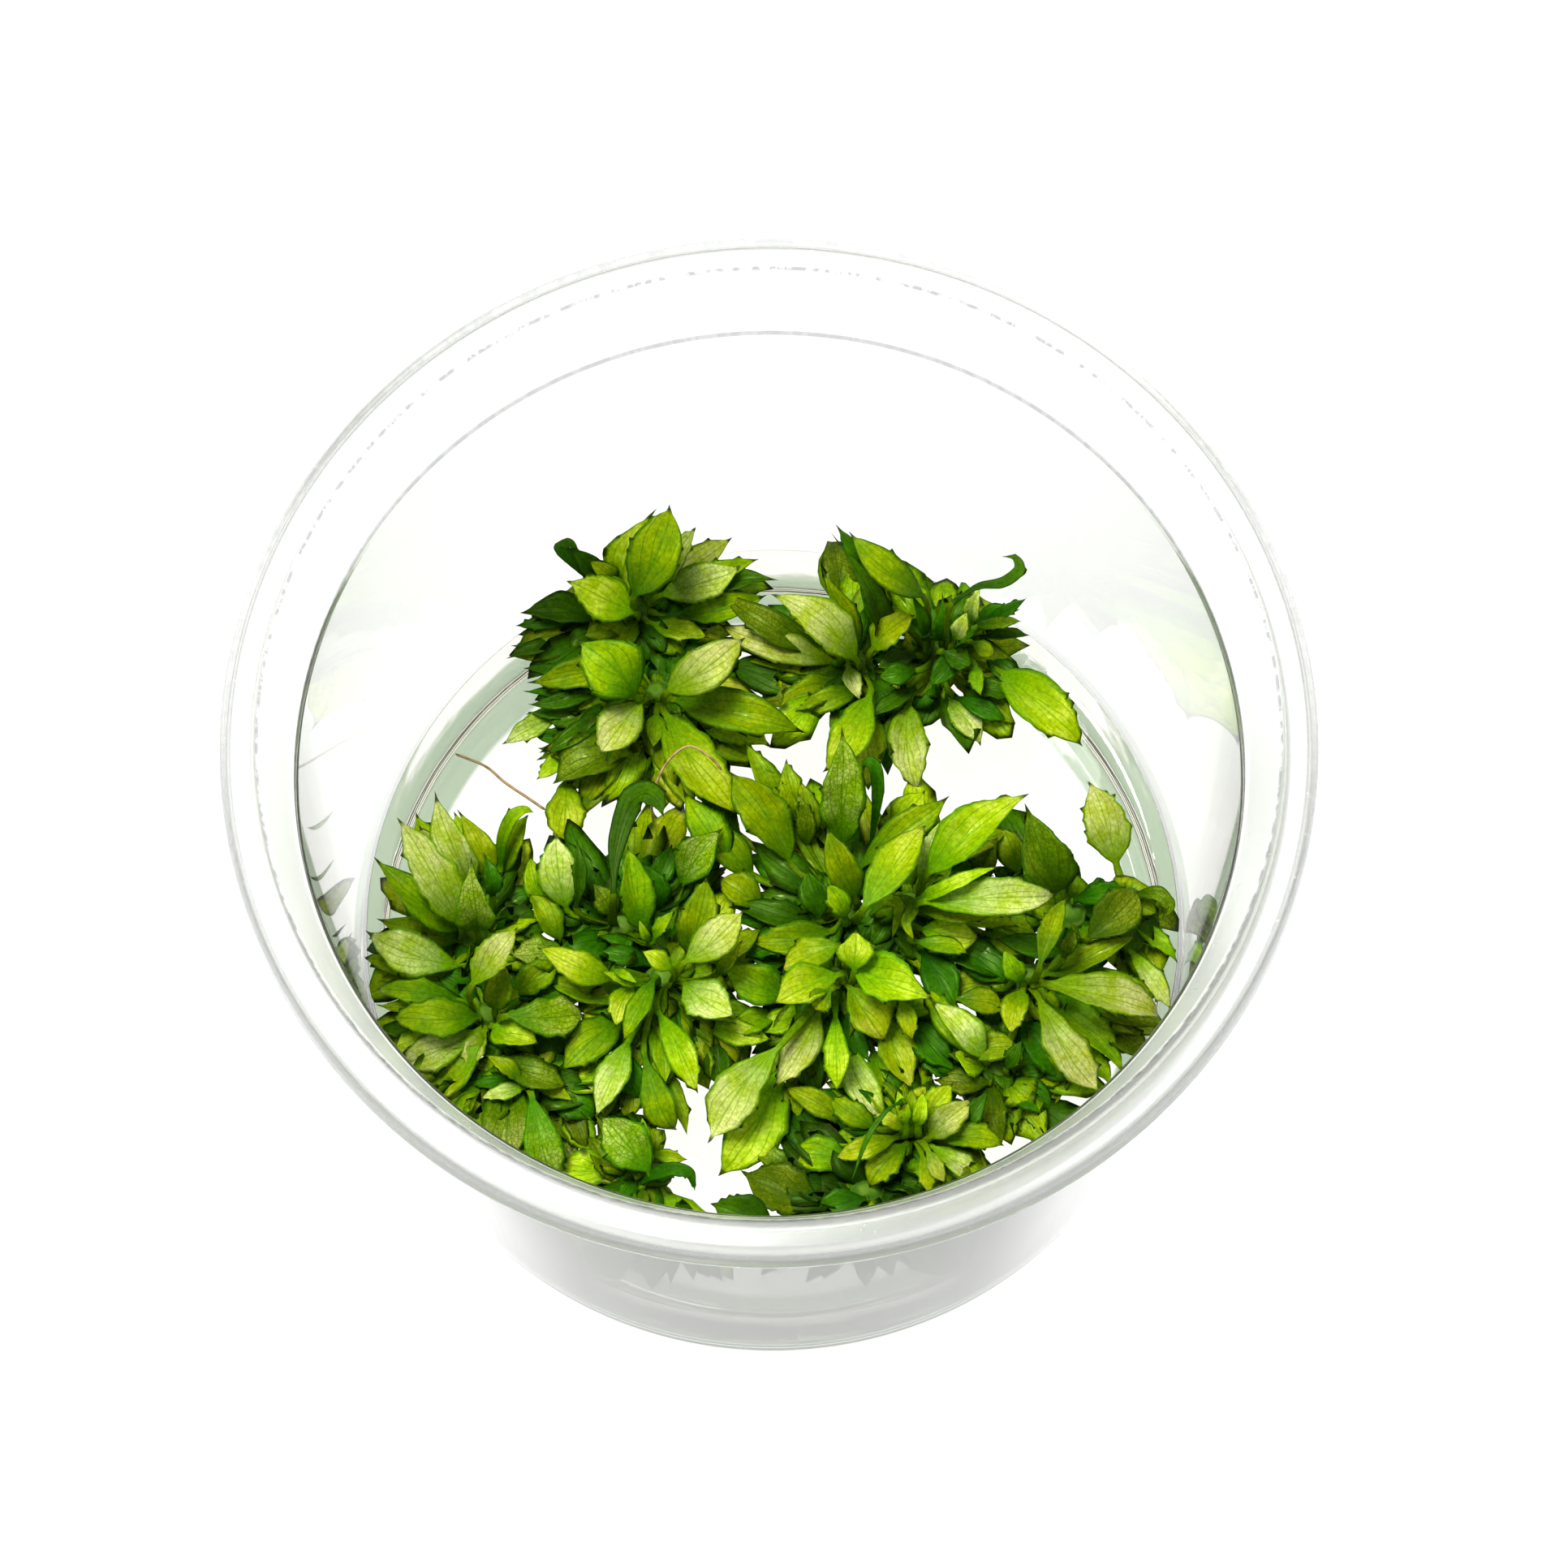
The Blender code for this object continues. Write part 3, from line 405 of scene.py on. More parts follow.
class Whims:
    """How one leaf differs from the next: its bend, arch, twist, cupping, waves, roundness and tip."""

    SPANS = {
        "bend": (-0.06, 0.06), "arch": (0.06, 0.22), "twist": (-0.5, 0.5), "cup": (0.10, 0.40),
        "hook": (-0.14, 0.10), "sway": (-0.05, 0.05), "wave": (0.0, 0.07), "waves": (1.5, 3.5),
        "phase": (0.0, math.tau), "shoulder": (0.85, 1.35), "fullness": (0.60, 0.92), "ragged": (0.03, 0.12),
    }

    def __init__(self, name):
        draw = random.Random(name)
        self.seed = draw.random()
        for whim, span in self.SPANS.items():
            setattr(self, whim, draw.uniform(*span))
        self.teeth = [
            (draw.uniform(0.45, 0.97), draw.choice((-1.0, 1.0)), draw.uniform(0.15, 0.45))
            for _ in range(draw.randint(1, 5))
        ]

    def outline(self, share):
        """Half width of a blade as a share of its widest: near parallel sides, drawn out to a fine point."""
        body = share / TIP_START
        if body >= 1.0:
            return LEAST_WIDTH * (1.0 - share) / TIP_LENGTH
        return max(math.sin(math.pi * body**self.shoulder) ** self.fullness, LEAST_WIDTH)


def blade_section(share, middle, side, upward, width, whims):
    """One station across a blade: its middle, side and upward directions, half width, half thickness,
    rise of its margins, and its share of the blade."""
    ratio = whims.outline(share)
    half = max(width * FULLNESS / 2.0 * ratio, PETIOLE_HALF * 0.85 * (1.0 - share * 4.0))
    if share >= 1.0:
        half = 0.0
    thick = min(THICKNESS + (PETIOLE_HALF * 0.7 - THICKNESS) * max(0.0, 1.0 - share * 5.0), half * 0.8)
    return middle, side, upward, half * MM, thick * MM, whims.cup * width * ratio * MM, share


def petiole_stations(crown, base, along, side, upward, steps):
    """Stations of the arched petiole, from inside the rhizome to the base of the blade."""
    toward = Vector((base.x - crown.x, base.y - crown.y, 0.0))
    root = crown + toward.normalized() * min(toward.length, 0.9 * MM) + UP * 0.5 * MM
    swing = min((base - root).length, SHEATH_REACH * MM)
    rising = (toward.normalized() * 0.45 + UP * 0.9) * swing
    stations = []
    for count in range(steps):
        share = count / steps
        middle = (
            root * (2.0 * share**3 - 3.0 * share**2 + 1.0)
            + rising * (share**3 - 2.0 * share**2 + share)
            + base * (3.0 * share**2 - 2.0 * share**3)
            + along * swing * (share**3 - share**2)
        )
        half = PETIOLE_HALF * (1.3 - 0.4 * share) * MM if count else 0.0
        stations.append((middle, side, upward, half, half * 0.75, 0.0, share - 1.0))
    return stations


def straight_stations(row, crown, whims, faces):
    """Stations along a leaf: its petiole, and a blade that arches from its base to its tip."""
    base_x, base_y, tip_x, tip_y, width, low, high, _ = row
    base = seen(base_x, base_y, low)
    tip = seen(tip_x, tip_y, high)
    along = tip - base
    length = along.length
    along.normalize()
    upward = (UP - along * along.z).normalized()
    side = along.cross(upward)
    stations = petiole_stations(crown, base, along, side, upward, faces[1])
    for count in range(faces[0] + 1):
        share = count / faces[0]
        rounded = 4.0 * share * (1.0 - share)
        hooked = max(0.0, (share - 0.8) / 0.2) ** 2
        middle = base + along * length * share + side * length * whims.bend * rounded
        raised = upward * length * (whims.arch * rounded + whims.hook * hooked)
        middle += raised - Vector((0.0, raised.z * SIGHT_SLOPE, 0.0))
        middle += side * length * whims.sway * max(0.0, (share - 0.75) / 0.25) ** 2
        angle = whims.twist * share
        turned_side = side * math.cos(angle) + upward * math.sin(angle)
        turned_up = upward * math.cos(angle) - side * math.sin(angle)
        stations.append(blade_section(share, middle, turned_side, turned_up, width, whims))
    return stations


def curve_point(points, share):
    """A point of the smooth curve through the points, at a share of the way along it."""
    place = min(share * (len(points) - 1), len(points) - 1.001)
    first = int(place)
    part = place - first
    before = points[max(first - 1, 0)]
    start, end = points[first], points[first + 1]
    after = points[min(first + 2, len(points) - 1)]
    return 0.5 * (
        2.0 * start
        + (end - before) * part
        + (2.0 * before - 5.0 * start + 4.0 * end - after) * part**2
        + (3.0 * start - before - 3.0 * end + after) * part**3
    )


def curve_run(points, share):
    """Which way the curve runs at a share of the way along it."""
    return curve_point(points, min(share + 0.02, 1.0)) - curve_point(points, max(share - 0.02, 0.0))


def curled_stations(points, width, crown, whims, faces):
    """Stations of a leaf that is curled over: its petiole, and a blade along a curve."""
    blade = []
    for count in range(faces[0] + 1):
        share = count / faces[0]
        along = curve_run(points, share).normalized()
        side = along.cross(UP).normalized()
        blade.append(blade_section(share, curve_point(points, share), side, side.cross(along), width, whims))
    along = (points[1] - points[0]).normalized()
    return petiole_stations(crown, points[0], along, *blade[0][1:3], faces[1]) + blade


def new_shape():
    shape = bmesh.new()
    for name in LAYERS:
        shape.verts.layers.float.new(name)
    return shape


def add_tube(shape, stations, sides, whims, index):
    """Adds a flattened tube, closed at both ends, along its stations: one leaf, stem or root."""
    tube = new_shape()
    along_layer, across_layer, seed_layer, spike_layer = (tube.verts.layers.float[name] for name in LAYERS)
    last = len(stations) - 1
    first_blade = sum(1 for station in stations if station[-1] < 0.0)
    teeth = {
        (first_blade + round(at * (last - first_blade)), sign): size
        for at, sign, size in whims.teeth if first_blade
    }
    bmesh.ops.create_grid(tube, x_segments=last, y_segments=2 * sides, size=0.5)
    for vert in tube.verts:
        place = round((vert.co.x + 0.5) * last)
        middle, side, upward, half, thick, rise, share = stations[place]
        turn = round((vert.co.y + 0.5) * 2 * sides) / sides
        across = 2.0 * turn - 1.0 if turn <= 1.0 else 3.0 - 2.0 * turn
        depth = thick * math.sqrt(max(0.0, 1.0 - across * across))
        if turn > 1.0:
            depth = -depth - RIB * math.exp(-((across / 0.2) ** 2)) * min(half, MM)
        ripple = whims.wave * 2.0 * half * across * abs(across)
        ripple *= math.sin(whims.waves * math.tau * share + whims.phase)
        lift = rise * abs(across) ** 1.25 + depth + ripple
        reach = 1.0
        if share > 0.0:
            where = Vector((share * 7.0, math.copysign(3.0, across), whims.seed * 90.0))
            rough = noise.noise(where) + 0.5 * noise.noise(where * 2.7)
            reach += whims.ragged * 2.0 * rough * abs(across)
        point = middle + side * across * half * reach + upward * lift
        tooth = teeth.get((place, across), 0.0) * min(1.0, half / (0.8 * MM))
        if tooth:
            forward = (stations[min(place + 1, last)][0] - stations[place - 1][0]).normalized()
            point += (side * across * 0.8 + forward * 0.7) * tooth * MM
        vert.co = kept_inside(point)
        vert[spike_layer] = 1.0 if tooth or share > 0.95 else 0.0
        vert[along_layer] = share
        vert[across_layer] = across
        vert[seed_layer] = whims.seed
    for face in tube.faces:
        face.material_index = index
    bmesh.ops.remove_doubles(tube, verts=tube.verts[:], dist=2e-7)
    bmesh.ops.recalc_face_normals(tube, faces=tube.faces[:])
    made = bpy.data.meshes.new("tube")
    tube.to_mesh(made)
    tube.free()
    shape.from_mesh(made)
    bpy.data.meshes.remove(made)


def blade_finish(tone):
    """A wet blade that light comes through, with its veins, cells and tip, and painted dark shade along its
    curled margin and at its throat.
    """
    flesh, second, margin_shade, vein, net_strength = (
        (*value, 1.0) if isinstance(value, tuple) else value for value in TONES[tone]
    )
    made, tree, place = new_finish("blade_" + tone)
    along, across, seed, spike = (
        wire(tree, "ShaderNodeAttribute", attribute_name=name).outputs["Fac"] for name in LAYERS
    )
    side = maths(tree, "ABSOLUTE", across)
    patches = speckle(tree, place, 420.0, 4.0, 0.6)
    grain = speckle(tree, place, 2600.0, 2.0)
    cells = wire(
        tree, "ShaderNodeTexVoronoi", {"Vector": place, "Scale": 2200.0}, feature="DISTANCE_TO_EDGE",
    ).outputs["Distance"]
    net = ramp(tree, cells, 0.02, 0.16, 1.0, 0.0)
    slanted = maths(tree, "SUBTRACT", times(tree, side, 2.8), times(tree, along, 2.2))
    wander = maths(tree, "ADD", slanted, times(tree, patches, 0.35))
    saw = maths(tree, "ABSOLUTE", maths(tree, "SUBTRACT", maths(tree, "FRACT", wander), 0.5))
    side_veins = ramp(tree, saw, 0.0, 0.09, 1.0, 0.0)
    midrib = ramp(tree, side, 0.01, 0.07, 1.0, 0.0)
    veins = maths(tree, "MAXIMUM", side_veins, midrib)
    # Painted shade: the margin colour along the edge where it curls, and at the throat at the blade's base
    margin_edge_shade = ramp(tree, side, 0.74, 0.97)
    point = maths(tree, "MAXIMUM", ramp(tree, along, 0.91, 0.97), ramp(tree, spike, 0.25, 0.8))
    throat_shade = ramp(tree, along, 0.72, 0.04)
    color = blend(tree, ramp(tree, patches, 0.35, 0.65), flesh, second)
    layers = [(net, net_strength, vein), (veins, 0.65, vein), (throat_shade, 0.9, margin_shade), (margin_edge_shade, 0.85, margin_shade)]
    for mask, strength, tint in (*layers, (point, 0.9, TIP_COLOR)):
        color = blend(tree, times(tree, mask, strength), color, tint)
    color = blend(tree, ramp(tree, along, -0.02, 0.0, 0.8, 0.0), color, PETIOLE_COLOR)
    leaf_light = ramp(tree, seed, 0.0, 1.0, 0.84, 1.12)
    grain_light = ramp(tree, grain, 0.3, 0.7, 0.80, 1.14)
    varied = wire(tree, "ShaderNodeHueSaturation", {
        "Hue": ramp(tree, seed, 0.0, 1.0, 0.488, 0.508),
        "Saturation": 1.08,
        "Value": times(tree, leaf_light, grain_light),
        "Color": color,
    }).outputs["Color"]
    wet = ramp(tree, speckle(tree, place, 700.0, 2.0), 0.62, 0.70, 0.0, 0.26)
    relief = wire(tree, "ShaderNodeBump", {
        "Strength": 0.5,
        "Distance": 0.00012,
        "Height": maths(tree, "SUBTRACT", times(tree, grain, 0.3), times(tree, veins, 0.6)),
    }).outputs[0]
    body = wire(tree, "ShaderNodeBsdfPrincipled", {
        "Base Color": varied,
        "Roughness": maths(tree, "SUBTRACT", ramp(tree, patches, 0.3, 0.7, 0.36, 0.52), wet),
        "IOR": LEAF_IOR,
        "Specular Tint": WET_TINT,
        "Normal": relief,
    })
    glow = wire(tree, "ShaderNodeBsdfTranslucent", {
        "Color": blend(tree, 1.0, varied, THROUGH_TINT, "MULTIPLY"),
        "Normal": relief,
    })
    shown(tree, wire(tree, "ShaderNodeMixShader", {0: 0.45, 1: body.outputs[0], 2: glow.outputs[0]}))
    return made


finishes = {tone: blade_finish(tone) for tone in TONES}
for plantlet, rows in OWN_LEAVES.items():
    crown = seen(*CROWNS[plantlet], CROWN_HEIGHT)
    for number, row in enumerate(rows, 1):
        leaf_node = f"leaf_{plantlet}_{number}"
        row = carried_row(leaf_node, row)
        whims = Whims(leaf_node)
        if leaf_node in OWN_CURLED:
            path = OWN_CURLED[leaf_node]
            low, high = row[5:7]
            points = [
                seen(*place, low + (high - low) * step / (len(path) - 1)) for step, place in enumerate(path)
            ]
            stations = curled_stations(points, row[4] * CURLED_SHARE, crown, whims, OWN_FACES)
        else:
            stations = straight_stations(row, crown, whims, OWN_FACES)
        blade = new_shape()
        add_tube(blade, stations, OWN_FACES[2], whims, 0)
        placed_piece(f"blade_{plantlet}_{number}", blade, [finishes[row[7]]], leaf_node)


# Shoots: the green rhizome of each plantlet, a stub that sits in the gel, with the smaller leaves that
# crowd round it, a few leaves that are curled over like straps, and fine brown roots in the air.
CROWN_SIZE, CROWN_FACES, CROWN_LUMPS = (1.9, 1.6, 1.6), (20, 14), 0.12
NEAR_FACES, LOW_FACES = (22, 5, 6), (7, 2, 3)  # of near and of lower leaves, as OWN_FACES
# Rows of leaves whose solids are joined to their rhizome's
JOINED_LEAVES = {
    "back_left_upper": [
        (-10.5, 31.6, -2, 34.2, 4.2, 18, 22.5, "pale"), (-13.8, 32.5, -11.2, 40.8, 4.6, 17.5, 30, "lime"),
        (-10, 33.5, -3.2, 37.6, 3.4, 16.5, 20, "pale"), (-15.6, 31.5, -19.3, 37, 3, 17, 27, "dark"),
        (-8.5, 31, 0.9, 33.4, 2.6, 16, 21, "dark"), (-16, 29.5, -24.3, 30, 3.6, 16, 19, "dark"),
        (-17, 28, -24.8, 27.6, 3, 15, 17, "dark"), (-11.5, 28.7, -5.7, 26.9, 3, 17, 18, "lime"),
    ],
    "back_left_lower": [
        (-9, 20.4, 3.6, 17, 4.6, 17.5, 19.5, "green"), (-13, 16, -21.3, 11.8, 5.6, 15.5, 16.5, "olive"),
        (-13.5, 24, -23.5, 22.3, 3.2, 16.5, 18.5, "green"),
        (-14.5, 21.5, -22.3, 18.5, 4.2, 16, 16.5, "dark"), (-8, 19.2, 0.5, 15.6, 4, 16, 16.5, "lime"),
        (-3.5, 24, 4.5, 21.3, 3.8, 15.5, 16, "dark"), (-15, 18, -22.8, 14, 3, 14.8, 15.2, "olive"),
    ],
    "back_middle": [
        (10, 20.5, 5.5, 12.3, 4.2, 18, 20, "lime"), (10.3, 27, 6.8, 37, 2.8, 19, 32, "dark"),
        (8.6, 25.4, 5.3, 33.6, 2.6, 19, 28, "green"), (7, 24, -5, 28.3, 3.6, 16.5, 17.5, "pale"),
        (7.5, 22, 0.6, 18.8, 3.6, 16, 16, "green"), (11.8, 26.5, 9.2, 32.6, 2.2, 18, 25, "dark"),
    ],
    "back_right": [
        (23.2, 22.6, 31, 15, 5, 18, 19, "lime"), (13.8, 19.4, 14.4, 10.2, 3.9, 17, 17.5, "pale"),
        (20.3, 28.3, 20.9, 31.8, 1.8, 22, 27, "pale"), (20.5, 27.8, 25, 29.2, 2.2, 20, 23, "dark"),
        (21.8, 25, 24.6, 20.6, 2.6, 17, 17, "dark"), (18.4, 20.3, 23.6, 17.6, 2.2, 16.5, 17.5, "dark"),
        (17.5, 20.2, 21, 15, 3.2, 15.5, 15.5, "pale"), (14.5, 21.2, 9.8, 18.2, 2, 17.5, 19, "dark"),
        (14.6, 24.6, 10.6, 23.4, 2.6, 18.5, 19.5, "dark"), (17.2, 26.5, 17.4, 30.6, 2.2, 20, 27, "dark"),
        (19, 25.5, 20.6, 26.8, 2.4, 22, 26, "dark"),
    ],
    "left": [
        (-29.2, 1, -32.7, 11, 4, 17.5, 23, "pale"), (-30.4, -7, -39.3, -3.4, 4.6, 17.5, 20, "pale"),
        (-30.5, -4.4, -38.2, -2, 3, 17, 19, "green"), (-27.5, 2, -30.2, 9.2, 3, 16.5, 20, "lime"),
        (-26.2, 2.5, -23.4, 9.3, 2.4, 17, 22, "green"),
    ],
    "left_front": [
        (-28.6, -13.6, -36.4, -17, 3.9, 18, 18, "pale"), (-27, -13.2, -22.7, -15, 4.2, 18.5, 19.5, "lime"),
        (-26.9, -11.4, -25.8, -6, 3, 19, 23, "green"), (-30.2, -9.4, -40, -5.8, 2.8, 16, 17.5, "green"),
        (-27.9, -13.6, -29.6, -17.6, 2.2, 17.5, 18, "pale"),
        (-28.6, -15.2, -33, -20.6, 4, 16.5, 16, "lime"),
    ],
    "left_low": [
        (-26.2, -16.4, -20, -19.6, 3.6, 18, 18.5, "olive"),
        (-25.4, -19.6, -26, -28.4, 4.8, 16.6, 16.8, "mottled"),
        (-26, -20.4, -29.6, -24.6, 2.6, 15.3, 15, "green"),
        (-24.2, -19.4, -28.4, -20.4, 1.8, 19, 19.5, "pale"),
        (-21.8, -20.4, -19.2, -26, 2.6, 15.5, 15.3, "olive"),
    ],
    "middle_left": [
        (-20, -1.2, -20.9, 6.9, 4.4, 18, 23, "pale"), (-11.2, -1.5, -12.6, 4, 3.4, 17, 20, "dark"),
        (-15.2, -2, -17.4, 1.7, 2.6, 17, 19, "olive"), (-20.4, -5.4, -25.6, -6, 4.4, 17, 17.6, "mottled"),
        (-22, -1.5, -23.5, 4.5, 2.6, 16.5, 18.5, "green"),
    ],
    "middle": [
        (-8.2, -6, -6, 2.4, 4, 20, 25, "green"), (-8.8, 0.8, -5, 6.9, 4.2, 17.5, 21, "mottled"),
        (-11.2, -12, -7.5, -20.4, 3.1, 18.5, 18.5, "lime"),
        (-14.8, -12.8, -20.6, -18, 4.4, 17.6, 18.2, "green"),
        (-13.6, -9.2, -15.4, -13.4, 2.7, 20.5, 21.5, "lime"),
        (-11.2, -13, -10.6, -19.6, 2.6, 17, 17.5, "green"),
        (-14, -14.8, -17.4, -22.6, 3.4, 18, 17.4, "pale"),
        (-12.6, -16.2, -9.6, -24.6, 3.4, 16.6, 15.6, "green"),
        (-7.2, -13.2, -0.2, -15.2, 2.8, 17, 17, "lime"),
    ],
    "centre": [
        (8, -0.4, 5.4, 6.9, 3.4, 20, 25, "green"), (8.6, 2.4, 17.5, 9.4, 3.4, 18, 21.5, "green"),
        (7, -2.6, 5.2, 1.4, 2.4, 22, 25, "green"), (4.5, -2.8, 3.4, 2.6, 3.2, 18, 20.5, "dark"),
        (4, 5.6, 3, 11.8, 2.8, 17.5, 21, "green"), (12, 6.4, 15.4, 10.4, 3.6, 17, 19, "lime"),
        (-1, -1.4, -5.2, 1.6, 3.6, 16.5, 17.5, "green"),
    ],
    "centre_right": [
        (14.4, 0.8, 16.5, 7.9, 2.5, 22.5, 29, "pale"), (14.2, -0.8, 22, 2.9, 1.7, 23, 28, "lime"),
        (14.3, -4, 20.1, -5.2, 3.8, 19.5, 20.5, "lime"), (14, -2, 22.6, -2, 2.6, 21, 23, "green"),
    ],
    "centre_front": [
        (4.4, -12.2, 0, -20, 3.8, 19, 19.5, "pale"), (0.4, -18.6, -5.6, -29, 6, 15.8, 15.4, "lime"),
        (5.9, -12, 6, -20.5, 2.6, 20, 20, "lime"), (7.8, -8, 8.1, -3.8, 3.8, 23, 25, "lime"),
        (6.2, -5.4, 0.8, -8.2, 3.8, 19.4, 20.5, "lime"), (7.2, -9.6, 10.6, -15.6, 4.6, 20, 19.6, "lime"),
        (6.8, -15.6, 10.4, -23.8, 3.4, 16.5, 16.2, "pale"), (11, -13.4, 13, -20.6, 3.8, 18, 18, "lime"),
        (1, -10.8, -5, -7.4, 4.2, 17.5, 18.5, "green"),
    ],
    "front": [
        (15.2, -25.2, 21.9, -26.1, 2.8, 18.5, 18.5, "green"),
        (14.8, -25.2, 18.9, -21.5, 3.2, 19.5, 21, "pale"),
        (12.4, -26, 8.6, -30.2, 3.4, 17.6, 17.2, "green"), (12.9, -23.8, 12.9, -20, 2.2, 19.5, 22, "green"),
        (14, -23.8, 17, -19.8, 2.8, 18, 19.5, "lime"), (11.4, -24.6, 4.8, -25.6, 2.8, 16.8, 17, "green"),
        (9.4, -24.2, 5, -21, 2.8, 16.5, 17.3, "green"), (7.2, -24.4, 0.7, -19.8, 2.6, 15.8, 16.4, "green"),
        (13.8, -26.6, 14.6, -31, 1.6, 18, 17.4, "lime"), (14.8, -26.2, 18.9, -29.9, 2.8, 18.4, 18, "pale"),
    ],
    "front_low": [
        (7.3, -27.8, 0.9, -26.8, 3.8, 16.6, 16.8, "green"),
        (6.8, -31.4, 2.6, -31.2, 3.4, 15.4, 15.4, "dark"), (10.4, -30.8, 15, -32, 3.2, 15.6, 15.4, "dark"),
        (8.6, -33, 7, -38.6, 3.6, 16, 18, "dark"),
    ],
    "right": [
        (26.2, -8.9, 35.4, -5, 3, 18.5, 21, "green"), (26.4, -11.2, 33.8, -19.2, 3.8, 17, 17, "green"),
        (24, -10.6, 22.8, -15, 2.8, 19, 19.5, "lime"), (24, -9.6, 22.2, -5.9, 2.2, 19.5, 22, "green"),
        (27.4, -11.6, 36, -15.8, 3.2, 15.6, 15.6, "olive"), (23, -8.8, 15.5, -6.8, 4.2, 16.5, 17, "dark"),
    ],
    "right_back": [(29.4, -1.4, 34.4, -0.1, 2.2, 17.5, 20, "dark")],
    "right_edge": [
        (35.4, -1.6, 37.4, -2.9, 2.4, 17, 18, "green"), (35, -3.8, 39.4, -8, 2, 16, 17, "green"),
    ],
    "right_front": [
        (20.2, -17.4, 15.2, -11.4, 3.4, 18.5, 20.5, "pale"),
        (20.2, -18.4, 17.2, -16.8, 3.6, 17.5, 18.5, "lime"),
        (20.9, -20.2, 21.8, -26.4, 2.6, 16.2, 15.8, "olive"),
        (22.6, -20.6, 26.7, -22.8, 3.6, 16, 15.8, "dark"), (22.3, -18.4, 23.8, -15.6, 1.8, 18, 20, "dark"),
        (23.6, -18, 28.4, -20, 3.6, 15.8, 16, "green"),
    ],
    "front_left": [
        (-12, -29, -9.6, -28.4, 1.6, 16.5, 17, "dark"), (-12.4, -26.6, -8.6, -27.2, 1.5, 16.5, 17, "green"),
        (-14.2, -29.6, -18.2, -24.4, 3.2, 16, 17, "olive"),
        (-13.4, -30.8, -13.6, -36, 2.6, 15.5, 16.5, "green"),
    ],
}
